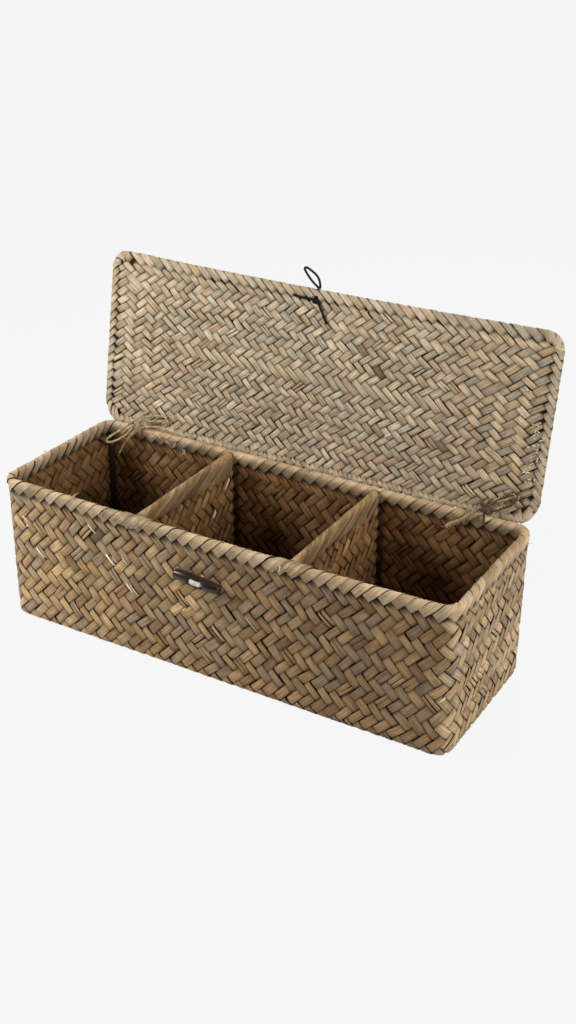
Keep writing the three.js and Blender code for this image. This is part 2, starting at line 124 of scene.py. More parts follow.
def add_piece(name, points, faces, material, body, grain=None, tint=None):
    """A mesh of points in millimetres that rides on a body, with its grain and tint for every point."""
    mesh = bpy.data.meshes.new(name)
    faces = faces.tolist() if isinstance(faces, np.ndarray) else faces
    mesh.from_pydata((np.asarray(points).reshape(-1, 3) / 1000).tolist(), [], faces)
    mesh.polygons.foreach_set("use_smooth", [True] * len(mesh.polygons))
    corner = np.zeros(len(mesh.loops), int)
    mesh.loops.foreach_get("vertex_index", corner)
    if grain is not None:
        layer = mesh.uv_layers.new(name="grain")
        layer.data.foreach_set("uv", np.asarray(grain, float).reshape(-1, 2)[corner].ravel())
    if tint is not None:
        rgb = np.asarray(tint, float).reshape(-1, 3)
        rgba = np.concatenate([rgb, np.ones((len(rgb), 1))], axis=1)
        mesh.color_attributes.new("tint", "FLOAT_COLOR", "POINT").data.foreach_set("color", rgba.ravel())
    mesh.materials.append(material)
    mesh.update()
    piece = add_object(name, mesh)
    if body:
        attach(piece, body)
    print(name, len(mesh.vertices), "points,", len(mesh.polygons), "faces")
    return piece


def add_patches(name, points, material, body, grain, tone, painted_shading, turned=False):
    """Many patches as one piece: each has a tone, which painted light and shade change from point to point."""
    count, rows, columns = points.shape[:3]
    faces = grid_faces(rows, columns, count)
    if turned:
        faces = faces[:, ::-1]
    return add_piece(name, points, faces, material, body, grain, tone[:, None, None] * painted_shading[..., None])


def varied(rng, count):
    """A function that gives each of count patches a random amount of its own, around zero."""
    return lambda size: size * rng.standard_normal((count, 1, 1))


def unit(directions):
    """The same directions with a length of one: each divided by its length."""
    return directions / np.linalg.norm(directions, axis=-1, keepdims=True)


def round_angles(count):
    """Even angles all the way round, without the last, which is the first again."""
    return np.linspace(0, 2 * math.pi, count, endpoint=False)


def fan(tip, first, sides, turned=False):
    """Triangles from a tip to a ring of points that starts at first; turned, they face the other way."""
    ring = np.arange(sides)
    pair = (first + ring, first + (ring + 1) % sides)
    return np.stack([np.full(sides, tip), *(pair[::-1] if turned else pair)], axis=1)


def smooth_step(x):
    """From 0 to 1 with level ends: three times the square less twice the cube."""
    x = np.clip(x, 0, 1)
    return x * x * (3 - 2 * x)


# %% [markdown]
# ## Finishes
# Dried palm leaf is matt with a faint satin sheen along its fibres. Its colour comes from the tint of each
# strip, and a noise stretched along the leaf gives the fibres, which change the colour a little and stand
# up as fine ridges. Twine, elastic and horn use the same few nodes with other numbers.

# %% Material helpers
def new_material(name):
    """An empty Principled material; returns it with a helper that adds a node and sets its sockets."""
    material = bpy.data.materials.new(name)
    material.use_nodes = True
    nodes, links = material.node_tree.nodes, material.node_tree.links

    def node(kind, settings=None, **sockets):
        made = nodes.new(kind)
        for key, value in (settings or {}).items():
            setattr(made, key, value)
        for key, value in sockets.items():
            socket = made.inputs[int(key[1:])] if key[0] == "_" else made.inputs[key.replace("_", " ")]
            if isinstance(value, bpy.types.NodeSocket):
                links.new(value, socket)
            else:
                socket.default_value = value
        return made

    shader = nodes["Principled BSDF"]
    return material, node, links, shader


def fibre_material(name, stretch, depth, rough, contrast, sheen=0.05, speckle=0.12):
    """Tint times two noises: one stretched along the leaf for its fibres, one even for its blotches."""
    material, node, links, shader = new_material(name)
    tint = node("ShaderNodeAttribute", {"attribute_name": "tint"})
    grain = node("ShaderNodeUVMap", {"uv_map": "grain"})
    along = node("ShaderNodeMapping", Vector=grain.outputs[0], Scale=(stretch[0], stretch[1], 1))
    fibres = node("ShaderNodeTexNoise", Vector=along.outputs[0], Scale=1.0, Detail=4.0, Roughness=0.65)
    place = node("ShaderNodeTexCoord")
    blotch = node("ShaderNodeTexNoise", Vector=place.outputs["Object"], Scale=95.0, Detail=3.0)
    shade = node("ShaderNodeMapRange", Value=fibres.outputs["Fac"], From_Min=0.25, From_Max=0.75,
                 To_Min=1 - contrast, To_Max=1 + contrast)
    cloud = node("ShaderNodeMapRange", Value=blotch.outputs["Fac"], From_Min=0.3, From_Max=0.7,
                 To_Min=1 - speckle, To_Max=1 + speckle)
    both = node("ShaderNodeMath", {"operation": "MULTIPLY"}, _0=shade.outputs[0], _1=cloud.outputs[0])
    colour = node("ShaderNodeVectorMath", {"operation": "SCALE"}, _0=tint.outputs["Color"])
    links.new(both.outputs[0], colour.inputs["Scale"])
    bump = node("ShaderNodeBump", Strength=0.6, Distance=depth / 1000, Height=fibres.outputs["Fac"])
    gloss = node("ShaderNodeMapRange", Value=fibres.outputs["Fac"], To_Min=rough - 0.1, To_Max=rough + 0.12)
    links.new(colour.outputs[0], shader.inputs["Base Color"])
    links.new(bump.outputs[0], shader.inputs["Normal"])
    links.new(gloss.outputs[0], shader.inputs["Roughness"])
    shader.inputs["Specular IOR Level"].default_value = 0.25
    shader.inputs["Sheen Weight"].default_value = sheen
    shader.inputs["Sheen Roughness"].default_value = 0.5
    return material


leaf = fibre_material("palm_leaf", (0.05, 0.8), 0.8, 0.55, 0.6, speckle=0.18)
folded_leaf = fibre_material("folded_palm_leaf", (0.04, 0.8), 0.6, 0.52, 0.46, speckle=0.16)
shade_leaf = fibre_material("leaf_in_the_gaps", (0.2, 0.9), 0.2, 0.8, 0.2, sheen=0.0)
twine_fibre = fibre_material("twine_fibre", (0.25, 2.2), 0.2, 0.75, 0.3, sheen=0.3)
cord_cover = fibre_material("elastic_cover", (1.6, 1.6), 0.08, 0.6, 0.3, sheen=0.0, speckle=0.05)

# %% [markdown]
# ## A cord of twisted strands
# Twine is a few strands laid round each other. Its outline is a ring with one bulge for each strand, and the
# bulges turn as the ring travels along the cord. The route is a smooth curve through listed points,
# the same points that the solid cords use. All routes here lie nearly in one plane, so the direction
# square to that plane gives every ring its level line, with no twist of its own.

# %% Cord helpers
def distance_along(line, power=1):
    """Sum of the steps up to each point, each step raised to a power."""
    return np.concatenate([[0], np.cumsum(np.linalg.norm(np.diff(line, axis=0), axis=1) ** power)])


def through_points(points, spacing):
    """Centripetal Catmull-Rom curve: knots spaced by the root of the distance, then evenly spaced points."""
    points = np.asarray(points, float)
    p = np.vstack([2 * points[0] - points[1], points, 2 * points[-1] - points[-2]])
    knot = distance_along(p, 0.5)
    t = np.linspace(knot[1], knot[-2] - 1e-9, 60 * len(points))
    k = np.searchsorted(knot, t, side="right") - 1

    def blend(a, b, low, high):
        share = ((t - knot[k + low]) / (knot[k + high] - knot[k + low]))[:, None]
        return (1 - share) * a + share * b

    a1, a2, a3 = (blend(p[k + n], p[k + n + 1], n, n + 1) for n in (-1, 0, 1))
    b1, b2 = blend(a1, a2, -1, 1), blend(a2, a3, 0, 2)
    return evenly(blend(b1, b2, 0, 1), spacing)


def evenly(line, spacing):
    """The same line with points at even distances."""
    run = distance_along(line)
    steps = np.linspace(0, run[-1], max(4, int(round(run[-1] / spacing)) + 1))
    return np.stack([np.interp(steps, run, line[:, axis]) for axis in range(3)], axis=1)


def line_length(line):
    """Sum of the steps, in millimetres."""
    return float(np.linalg.norm(np.diff(line, axis=0), axis=1).sum())


def ring_frame(line, closed=False):
    """Two directions across the line at each point, from its own best-fitting plane."""
    if closed:
        along = np.roll(line, -1, axis=0) - np.roll(line, 1, axis=0)
    else:
        along = np.gradient(line, axis=0)
    along = unit(along)
    flat = np.linalg.svd(line - line.mean(axis=0), full_matrices=False)[2][2]
    side = unit(np.cross(along, flat))
    return side, np.cross(side, along)


CORD_SIDES = 18


def twisted_tube(line, diameter, strands, pitch, depth, closed, taper):
    """Rings with one bulge a strand, turned once every pitch, and thinner over the taper at both ends."""
    side, level = ring_frame(line, closed)
    run = distance_along(line)[:, None]
    angle = round_angles(CORD_SIDES)[None]
    bulge = np.abs(np.cos(strands / 2 * (angle - 2 * math.pi * run / pitch)))
    radius = diameter / 2 * (1 - depth + depth * bulge)
    if taper:
        radius = radius * np.clip(np.minimum(run, run[-1] - run) / taper + 0.25, 0.25, 1)
    points = (line[:, None] + radius[..., None] *
              (np.cos(angle)[..., None] * side[:, None] + np.sin(angle)[..., None] * level[:, None]))
    faces = grid_faces(len(line), CORD_SIDES, closed_rows=closed, closed_columns=True)
    grain = np.stack(np.broadcast_arrays(run + 0 * angle, angle * diameter / 2 - 2 * run / pitch), axis=-1)
    # Painted shade: the tint is darker between the strands and lighter on their bulges.
    shade = 0.55 + 0.45 * bulge
    return points.reshape(-1, 3), faces, grain.reshape(-1, 2), shade.ravel()


def close_ends(points, faces):
    """A fan of faces from the middle of the first ring and of the last."""
    count, sides = len(points), CORD_SIDES
    middle = np.stack([points[:sides].mean(axis=0), points[-sides:].mean(axis=0)])
    fans = np.concatenate([fan(count, 0, sides, turned=True), fan(count + 1, count - sides, sides)])
    return np.vstack([points, middle]), faces.tolist() + fans.tolist()


# The dark twine colour is painted shade for the right tie's loop, ring and knot.
TWINE_TAN, TWINE_SHADE_DARK = linear((198, 170, 128)), linear((92, 69, 45))
TWINE_PALE, TWINE_CREAM = linear((196, 170, 128)), linear((248, 240, 222))
ELASTIC_BLACK = linear((13, 9, 8))


def add_cord(name, line, diameter, colour, body, finish, strands=2, pitch=5.5, depth=0.24,
             closed=False, taper=0.0, seed=1):
    """A twisted tube with a tint that changes a little along its length, with painted shade between strands.
    """
    points, faces, grain, shade = twisted_tube(line, diameter, strands, pitch, depth, closed, taper)
    rng = np.random.default_rng(seed)
    drift = 1 + 0.16 * np.sin(np.arange(len(line)) * 0.35 + rng.uniform(0, 6))
    tint = shade[:, None] * np.repeat(drift, CORD_SIDES)[:, None] * colour
    if closed:
        return add_piece(name, points, faces, finish, body, grain, tint)
    points, faces = close_ends(points, faces)
    grain = np.vstack([grain, grain[:1], grain[-1:]])
    tint = np.vstack([tint, tint[:1], tint[-1:]])
    return add_piece(name, points, faces, finish, body, grain, tint)


# %% [markdown]
# ## The twine ties
# The lid is tied to the back wall in two places. Each tie is a ring of twine through both, a knot and the
# ends that were left over, bent into a rough bow. The ring is centred on the hinge line, so it can stay
# still while the lid turns. The knot and the bow lie half on the wall and half on the lid, and stay
# where they are drawn.

# %% Ties: sizes and routes
HINGE = np.array([0.0, 71.3, 123.5])
TWINE_DIAMETER = 2.0
DRAWN_DIAMETER = {"left": 2.0, "right": 3.0}
RING_RADIUS = 9.8
KNOT_AT = {"left": np.array([-156.5, 63.793, 129.799]), "right": np.array([156.5, 63.793, 129.799])}
KNOT_SIZE = (6.8, 5.8, 5.8)
TIE_ROUTES = {
    "bow_loop_left": [
        [0, 0, 0], [-4.3, -1, -0.6], [-7.9, -2.9, -3.6], [-11.6, -5.4, -6.9], [-15.7, -8.3, -10],
        [-19.9, -11.3, -13.2], [-22.6, -13.5, -15.5], [-24.2, -15, -17.6], [-23.6, -15.5, -19.3],
        [-21, -14.5, -19.4], [-17.6, -12.7, -18.2], [-14.2, -10.7, -16.3], [-11.1, -8.5, -14],
        [-8, -6.5, -11], [-5.6, -4.6, -7.6], [-3.6, -2.5, -3.9], [0, 0, 0]],
    "bow_tail_left": [
        [0, 0, 0], [0.8, -3.6, -1.2], [1, -5, -3.8], [-1.3, -5.7, -8], [-5.2, -6.1, -12.5],
        [-9, -6.5, -17], [-12.1, -6.9, -21.4], [-14.9, -7.3, -26], [-17.3, -7.7, -30.6]],
    "bow_second_loop_left": [
        [0, 0, 0], [2.6, 2, 2.3], [6, 5.2, 2.8], [10.6, 7.3, 3.4], [15.5, 8, 4.1], [20, 8.1, 4.2],
        [21.9, 7.6, 2.8], [19.4, 6.7, 0.9], [14.7, 5.9, 0], [10, 4.8, -0.8], [6.4, 3.5, -0.9],
        [3.5, 2, -0.6], [0, 0, 0]],
    "bow_second_tail_left": [
        [0, 0, 0], [3.1, -0.9, -2.4], [7.2, -0.9, -4.2], [11.2, -0.2, -3.6], [16.2, 0.4, -2.7],
        [21.2, 0.6, -2.4], [25.5, 0.4, -2.6], [29.4, 0, -3], [33, -0.6, -3.6]],
    "bow_tail_right": [
        [0, 0, 0], [-3.6, -1.2, 0.4], [-5.8, -2, -1.5], [-8.4, -2.6, -4], [-11, -2.9, -6.8],
        [-13.8, -3, -9.6], [-16.7, -3, -12.1], [-19.9, -3, -14.4], [-23, -2.9, -16.8],
        [-26.1, -2.9, -19.1], [-29.1, -2.9, -21.3]],
    "bow_loop_right": [
        [0, 0, 0], [2.4, 2.3, 2.6], [4.9, 5, 4.4], [7.6, 7.3, 6], [10.9, 8.4, 8.5], [14.3, 9.3, 11.2],
        [16.8, 9.7, 12.7], [19, 9.6, 12.3], [20, 9, 10.1], [19.1, 8, 7.1], [16.7, 6.9, 4.3],
        [13.4, 5.9, 2], [10, 4.8, 0.4], [6.5, 3.4, -0.9], [3.6, 1.6, -0.8], [0, 0, 0]],
}


def bend_with_lid(piece):
    """Bakes the piece's placement into its points; nothing bends it or turns it with the lid."""
    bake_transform(piece)


# %% [markdown]
# ## The bows
# Each stretch of left-over twine starts at its knot. The tie on the right is thicker and rougher, with a
# tan tail; its loop, ring and knot are painted dark for the shade they lie in.

# %% Ties: bows
def add_bow(name, side, colour, seed):
    """One stretch of left-over twine from the knot: a loop comes back to it, and a tail ends loose."""
    is_loop = "loop" in name
    route = np.array(TIE_ROUTES[name][:-1] if is_loop else TIE_ROUTES[name]) + KNOT_AT[side]
    line = through_points(route, 0.45)
    cord = add_cord(f"{name}_twine", line, DRAWN_DIAMETER[side], colour, None, twine_fibre,
                    seed=seed, depth=0.24 if side == "left" else 0.36)
    bend_with_lid(cord)
    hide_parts(name)
    print(name, round(line_length(line), 1), "mm long")
    return line


bow_lines = {}
for number, name in enumerate(TIE_ROUTES):
    side = name.rsplit("_", 1)[1]
    # On the right the loop is painted dark for shade; the tail keeps the tan twine colour.
    right_colour = TWINE_TAN if "tail" in name else TWINE_SHADE_DARK
    bow_lines[name] = add_bow(name, side, TWINE_PALE if side == "left" else right_colour, seed=number)

# %% [markdown]
# ## Rings and knots of the ties
# The ring is the same twisted tube on a closed circle, so its number of turns is a whole number. A knot
# drawn as one lump looks like a bead. Here the twine itself is laid along a three-lobed knot curve and
# squeezed into a small box, which is a little larger on the right.

# %% Ties: rings and knots
def circle_line(centre, radius, steps):
    """Points round a circle that stands across the hinge line."""
    angle = round_angles(steps)
    spread = np.stack([0 * angle, np.cos(angle), np.sin(angle)], axis=1)
    return centre + radius * spread


def knot_line(centre, size, steps, turn=0.0):
    """Three-lobed knot: two waves round the middle and three waves across, scaled into a box."""
    t = round_angles(steps)
    shape = np.stack([np.sin(t) + 2 * np.sin(2 * t), np.cos(t) - 2 * np.cos(2 * t), -np.sin(3 * t)], axis=1)
    c, s = math.cos(turn), math.sin(turn)
    turned = shape @ np.array([[c, 0, -s], [0, 1, 0], [s, 0, c]])
    return centre + turned * (np.array(size) / 2) / np.abs(turned).max(axis=0)


# The right ring and knot take the dark twine colour, which is painted shade.
for side, colour in (("left", TWINE_PALE), ("right", TWINE_SHADE_DARK)):
    centre = np.array([KNOT_AT[side][0], HINGE[1], HINGE[2]])
    around = 2 * math.pi * RING_RADIUS
    ring = add_cord(f"hinge_ring_twine_{side}", circle_line(centre, RING_RADIUS, 120), TWINE_DIAMETER, colour,
                    "tray", twine_fibre, pitch=around / 11, closed=True, seed=7)
    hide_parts(f"hinge_ring_{side}")
    strand, grown = (2.3, 0) if side == "left" else (3.3, 4.6)
    inside = [size + grown - strand for size in KNOT_SIZE]
    knot = add_cord(f"tie_knot_twine_{side}", knot_line(KNOT_AT[side], inside, 110, 0.5), strand, colour,
                    None, twine_fibre, pitch=5, closed=True, seed=9)
    bend_with_lid(knot)
    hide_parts(f"tie_knot_{side}")

# %% [markdown]
# ## Loose strands
# The twine on the right has come apart. Three thin strands follow its tail and its loop, and slow waves of
# their own push them aside.

# %% Ties: loose strands on the right
def wandering(line, size, seed):
    """The line pushed aside by three slow waves, which fade out at both ends."""
    rng = np.random.default_rng(seed)
    t = np.linspace(0, 1, len(line))[:, None]
    waves = sum(rng.normal(0, 1, 3) * np.sin(2 * math.pi * (n * t + rng.uniform(0, 1, 3))) / n
                for n in (1, 2, 3))
    return line + size * waves * np.sin(math.pi * t) ** 0.5


for name in ("bow_tail_right", "bow_loop_right"):
    for number in (1, 2, 3):
        strand = wandering(bow_lines[name], 0.9, 90 + number)
        loose = add_cord(f"{name}_strand_{number}", strand, 1.4, TWINE_TAN, None,
                         twine_fibre, pitch=4, depth=0.3, taper=3, seed=number)
        bend_with_lid(loose)

# %% [markdown]
# ## The elastic
# A thin black elastic is knotted on the lid's inner face. Its two ends are left loose on the plaiting, and
# its loop comes out at the lid's free edge. The loop swings, so it rides on its own body, and the rest
# rides on the lid. Routes on the lid are drawn with the lid closed and then swung open with it. The solid
# cord is 1.2 mm thick, which sets how high it lies, but it is drawn thicker, as it looks in the picture.

# %% Elastic
LID_ANGLE = math.radians(100)
GAP = 0.3
LID_UNDER, LID_WIDTH, LID_THICKNESS = 0.8, 141.0, 4.5
LID_SHIFT, LID_HALF_LENGTH, LID_BOW = -3.8, 197.0, 2.3
LID_BORDER, LID_HINGE_LIP, LID_HINGE_CURL = 9.0, 5.9, 0.8
CLOSURE_X = -6.3
ELASTIC_DIAMETER, DRAWN_ELASTIC, DRAWN_ROOT = 1.2, 1.9, 2.8


def swing_open(points):
    """Turns closed-lid points about the hinge line by the lid's angle."""
    x, y, z = np.moveaxis(np.asarray(points, float), -1, 0)
    c, s = math.cos(LID_ANGLE), math.sin(LID_ANGLE)
    return np.stack([x + HINGE[0], y * c + z * s + HINGE[1], -y * s + z * c + HINGE[2]], axis=-1)


def add_elastic(name, line, body, closed=False):
    """Six shallow ribs make the elastic almost round."""
    return add_cord(name, line, DRAWN_ELASTIC, ELASTIC_BLACK, body, cord_cover, strands=6, pitch=9,
                    depth=0.06, closed=closed)


edge_bow = LID_BOW * (1 - ((CLOSURE_X - LID_SHIFT) / LID_HALF_LENGTH) ** 2)
free_edge = -GAP - LID_WIDTH + edge_bow
knot_place = np.array([CLOSURE_X, free_edge + 8.4, 0.7])
tail_height = LID_UNDER - GAP - ELASTIC_DIAMETER / 2
tail_left = [[-19.8, 1.2], [-17, 0.9], [-14, 0.6], [-11, 0.4], [-7, 0.6], [-3.6, 0.6], [0, 0]]
tail_down = [[2.4, -2], [4.4, -4.8], [6.2, -7.7], [8, -10.8], [9.8, -13.8], [11.4, -16.6]]
flat_route = [[CLOSURE_X + x, knot_place[1] - out, tail_height] for x, out in tail_left + tail_down]
tail_line = through_points(swing_open(flat_route), 0.35)
elastic_tails = add_elastic("elastic_tails", tail_line, "lid")
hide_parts("elastic_tail_left", "elastic_tail_down")
elastic_knot = add_elastic("elastic_knot_cord", swing_open(knot_line(knot_place, (5.2, 5.2, 1.6), 100)),
                           "lid", closed=True)
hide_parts("elastic_knot")
print("elastic tails", round(line_length(tail_line), 1), "mm")

# %% [markdown]
# ## The elastic's loop and root
# The loop is drawn flat, leaned by 50 degrees and swung open with the lid. Its root is the short stretch
# inside the lid's edge, where both legs of the loop lie side by side.

# %% Elastic loop and root
pivot = np.array([CLOSURE_X, free_edge - 1.0, LID_UNDER + LID_THICKNESS / 2])
LOOP_LEAN = math.radians(50)
loop_route = np.array([
    [-0.8, 0.3], [-3.1, 1.7], [-6.2, 3.7], [-10.2, 6.6], [-14.6, 10.2], [-18.4, 13.6], [-20.6, 16],
    [-20.8, 17.5], [-19.3, 17.7], [-16.6, 16.6], [-13, 14.9], [-9.4, 12.8], [-6.2, 10.4], [-3.7, 7.8],
    [-1.6, 4.9], [0, 2.2], [0.8, 0.3]])
leaned = np.stack([loop_route[:, 0], -loop_route[:, 1] * math.cos(LOOP_LEAN),
                   loop_route[:, 1] * math.sin(LOOP_LEAN)], axis=1)
loop_line = through_points(swing_open(pivot + leaned), 0.35)
elastic_loop = add_elastic("elastic_loop_cord", loop_line, "elastic_loop")
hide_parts("elastic_loop")
root_ends = np.array([[CLOSURE_X, knot_place[1] - 1.5, 1.8], [CLOSURE_X, free_edge - 0.6, pivot[2]]])
root_rise = np.array([[0, 0, 0.02]]) * np.sin(np.linspace(0, math.pi, 12))[:, None]
root_line = swing_open(np.linspace(root_ends[0], root_ends[1], 12) + root_rise)
elastic_root = add_cord("elastic_root_cord", root_line, DRAWN_ROOT, ELASTIC_BLACK, "lid", cord_cover,
                        strands=2, pitch=30, depth=0.3)
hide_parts("elastic_root")
print("elastic loop", round(line_length(loop_line), 1), "mm")

# %% [markdown]
# ## The tray's walls as a flat sheet
# To lay strips on a box with rounded corners, each wall is treated as a long flat sheet: one number says how
# far round the box a point is, one says how high, and one how far it stands off. These functions roll the
# sheet up. The front edge of the real box sags a little in the middle, so a last step lowers it.

# %% Tray surfaces
TRAY_HALF_X, TRAY_HALF_Y, TRAY_CORNER = 194.5, 69.5, 14.0
TRAY_HEIGHT, RIM_DIP = 122.5, 2.2
WALL_INSET = 1.2
WALL_FACE, LINING_FACE = 1.75, 4.5
DIVIDER_OUT = 66.5


def along_outline(s, inset, half_x, half_y, corner, reference):
    """Round a box with rounded corners: nine legs, straight and bend in turn, from the front's middle."""
    long, short, bend = half_x - corner, half_y - corner, (corner - reference) * math.pi / 2
    lengths = np.array([long, bend, 2 * short, bend, 2 * long, bend, 2 * short, bend, long])
    starts = np.concatenate([[0], np.cumsum(lengths)])
    s = np.mod(s, starts[-1])
    leg = np.clip(np.searchsorted(starts, s, side="right") - 1, 0, 8)
    rest = s - starts[leg]
    bends = leg % 2
    heading = (leg // 2) * math.pi / 2 + bends * rest / (corner - reference)
    anchor_x = np.array([0, long, long, long, long, -long, -long, -long, -long])[leg]
    anchor_y = np.array([-short, -short, -short, short, short, short, short, -short, -short])[leg]
    track = (1 - bends) * rest
    x = anchor_x + track * np.cos(heading) + (corner - inset) * np.sin(heading)
    y = anchor_y + track * np.sin(heading) - (corner - inset) * np.cos(heading)
    return x, y


def outline_length(half_x, half_y, corner, reference):
    """Four straight sides without their corners, and one whole circle of the corners' radius."""
    return 4 * (half_x + half_y - 2 * corner) + 2 * math.pi * (corner - reference)


def rim_sag(x, y):
    """How far the top edge is down: a parabola along the box that grows towards the front."""
    return RIM_DIP * (1 - (x / TRAY_HALF_X) ** 2) * (TRAY_HALF_Y - y) / (2 * TRAY_HALF_Y)


def settle(points):
    """Lowers points by the top edge's sag, in proportion to their height."""
    x, y, z = np.moveaxis(points, -1, 0)
    return np.stack([x, y, z - rim_sag(x, y) * z / TRAY_HEIGHT], axis=-1)


def tray_points(s, inset, z):
    """Points from the way round, the distance in from the outline and the height."""
    x, y = along_outline(s, inset, TRAY_HALF_X, TRAY_HALF_Y, TRAY_CORNER, WALL_INSET)
    return settle(np.stack(np.broadcast_arrays(x, y, z), axis=-1))


BASE_ROUND, BASE_RISE = 4.4, 0.7
LOWEST = 0.05


def outer_wall(s, w, h):
    """Upright wall, then a quarter round at the foot onto the underside, with h standing off outwards."""
    w = w - BASE_RISE
    turn = np.clip((BASE_ROUND - w) / BASE_ROUND, 0, math.pi / 2)
    beyond = np.maximum(0, BASE_ROUND - w - BASE_ROUND * math.pi / 2)
    inset = WALL_FACE + BASE_ROUND * (1 - np.cos(turn)) + beyond - h * np.cos(turn)
    z = BASE_RISE + np.maximum(w, BASE_ROUND) - BASE_ROUND * np.sin(turn) - h * np.sin(turn)
    return tray_points(s, inset, np.maximum(z, LOWEST))


def inner_wall(u, w, h):
    """Seen from inside, left and right change places, so the way round is reversed."""
    return tray_points(-u, LINING_FACE + h, w + 0 * h)


RIM_WIDTH, RIM_BEND = 6.3, 2.35
RIM_START = TRAY_HEIGHT - 0.25 - RIM_BEND
RIM_INSET = 0.5
RIM_FLAT = RIM_WIDTH - 2 * RIM_INSET - 2 * RIM_BEND


def rim_surface(s, w, h):
    """Up the outside, a quarter round, a short flat, a quarter round and down the inside."""
    e = w - RIM_START
    first = np.clip(e / RIM_BEND, 0, math.pi / 2)
    level = np.clip(e - RIM_BEND * math.pi / 2, 0, RIM_FLAT)
    second = np.clip((e - RIM_BEND * math.pi / 2 - RIM_FLAT) / RIM_BEND, 0, math.pi / 2)
    down = np.maximum(0, e - RIM_BEND * math.pi - RIM_FLAT)
    z = RIM_START + np.minimum(e, 0) + RIM_BEND * (np.sin(first) + np.cos(second) - 1) - down
    turn = first + second
    lean_in = 1.15 * smooth_step((RIM_START - z) / 9)
    inset = RIM_INSET + RIM_BEND * (1 - np.cos(first) + np.sin(second)) + level + (lean_in - h) * np.cos(turn)
    return tray_points(s, inset, z + h * np.sin(turn))


wall_round = outline_length(TRAY_HALF_X, TRAY_HALF_Y, TRAY_CORNER, WALL_INSET)
print("way round the tray:", round(wall_round, 1), "mm")

# %% [markdown]
# ## Plaiting
# Think of the plaiting as a chessboard stood on its corner. Strips lean one way (like /) or the other, and
# each square shows the strip that is on top. A strip is on top for two squares and then under for two,
# and the neighbours are shifted by one, which gives the stepped pattern. Only the visible stretches are
# made: each is a small patch that dives under its neighbours at both ends, is a little crowned across,
# and has its own width, slant and tint. Stretches are found from a table of which strip is on top.

# %% Plaiting helpers
def stretches(mask):
    """Line, start and stop of each run of True along the rows: a step up starts one, a step down ends it."""
    step = np.diff(np.pad(mask.astype(int), ((0, 0), (1, 1))), axis=1)
    line, start = np.nonzero(step == 1)
    stop = np.nonzero(step == -1)[1]
    return line, start, stop


FALLING = 5000


def plait(on_top, c_low, c_high, r_low, r_high):
    """Rows of column, row, lean, squares and strip for every visible stretch inside the given range.

    A stretch over more than three squares is held down by the other strip in its middle square. Strips that
    fall to the right are numbered from FALLING, so both kinds can stand in one list.
    """
    i = np.arange((c_low - r_high) // 2 - 1, (c_high - r_low) // 2 + 2)
    j = np.arange((c_low + r_low) // 2 - 1, (c_high + r_high) // 2 + 2)
    ii, jj = np.meshgrid(i, j, indexing="ij")
    top = on_top(ii + jj, jj - ii)
    for code, cells in ((1, top), (2, top.T)):
        line, start, stop = stretches(cells == code)
        long = stop - start > 3
        cells[line[long], (start + stop)[long] // 2] = 3 - code
    line, start, stop = stretches(top == 1)
    middle = j[0] + (start + stop - 1) / 2
    rising = np.stack([i[line] + middle, middle - i[line], np.ones(len(line)), stop - start, line], axis=1)
    line, start, stop = stretches((top == 2).T)
    middle = i[0] + (start + stop - 1) / 2
    falling = np.stack([middle + j[line], j[line] - middle, -np.ones(len(line)), stop - start,
                        line + FALLING], axis=1)
    return np.concatenate([rising, falling])


def slant_twill(c, r):
    """Rising strips on top in rows 0 and 1 of every four, falling strips in rows 2 and 3."""
    return np.where(np.mod(r, 4) < 2, 1, 2)


LEAF_WIDTH = 0.93
ACROSS = np.array([-1, -0.93, -0.7, 0, 0.7, 0.93, 1])


def leaf_patches(runs, surface, rng, lift, crown, square, width, spread=0.06, dive=0.27, ramp=0.52):
    """Patches in board squares: height is a smooth ramp at both ends, less a crown across, with painted light
    and shade.
    """
    c, r, lean, squares = (column[:, None, None] for column in runs.T[:4])
    vary = varied(rng, len(runs))
    half = squares / 2 + dive
    share = np.clip(width + vary(spread), 0.5 * width, 1.12 * width)
    edge = ramp * np.array([0, 0.28, 0.52, 0.76, 1])[None, :, None]
    p = np.concatenate([-half + edge, 0 * half, half - edge[:, ::-1]], axis=1)
    q = ACROSS[None, None]
    rise = smooth_step((half - np.abs(p)) / ramp)
    tilt, slip, swing, stand = vary(0.16), vary(0.03), vary(0.03), vary(0.08)
    h = (lift * (2 * rise - 1) + 0.25 * lift * (1 - (p / half) ** 2) - crown * np.abs(q) ** 3.4
         + tilt * q + stand - 0.16 * lift * (lean < 0) * p / half)
    side = q * share / 2 + slip + swing * p
    points = surface(c + p - lean * side + 0 * h, r + lean * p + side + 0 * h, h)
    # Painted light and shade: falling leaves are lighter at their upper end, and every leaf darkens where it
    # dives under its neighbours and towards its edges.
    fade = 1 - 0.14 * (lean < 0) * p / half
    painted_shading = (0.12 + 0.88 * smooth_step((half - np.abs(p)) / (1.3 * ramp))) * (1 - 0.55 * np.abs(q) ** 7) * fade
    return points, grain_map(p * square, q * share * square / 2, rng), painted_shading


def grain_map(along, across, rng):
    """Distance along and across each leaf in millimetres, from a start of its own."""
    pair = np.stack(np.broadcast_arrays(along, across), axis=-1)
    return pair + rng.uniform(0, 400, (len(pair), 1, 1, 2))


def strip_tints(numbers, rng, palette, weights, spread=0.07):
    """From each stretch's strip number: strips pick a tone, stretches stray from it, both stray in light."""
    palette, count = linear(palette), len(numbers)
    strips, place = np.unique(numbers, return_inverse=True)
    strip_tone = rng.choice(len(palette), len(strips), p=weights)[place]
    own_tone = rng.choice(len(palette), count, p=weights)
    keep = rng.random((count, 1)) < 0.5
    mix = np.where(keep, palette[strip_tone], palette[own_tone])
    even = (np.asarray(weights)[:, None] * palette).sum(axis=0)
    own_light = spread * rng.standard_normal((count, 1))
    strip_light = 0.6 * spread * rng.standard_normal(len(strips))[place][:, None]
    return (0.75 * mix + 0.25 * even) * np.exp(own_light + strip_light)


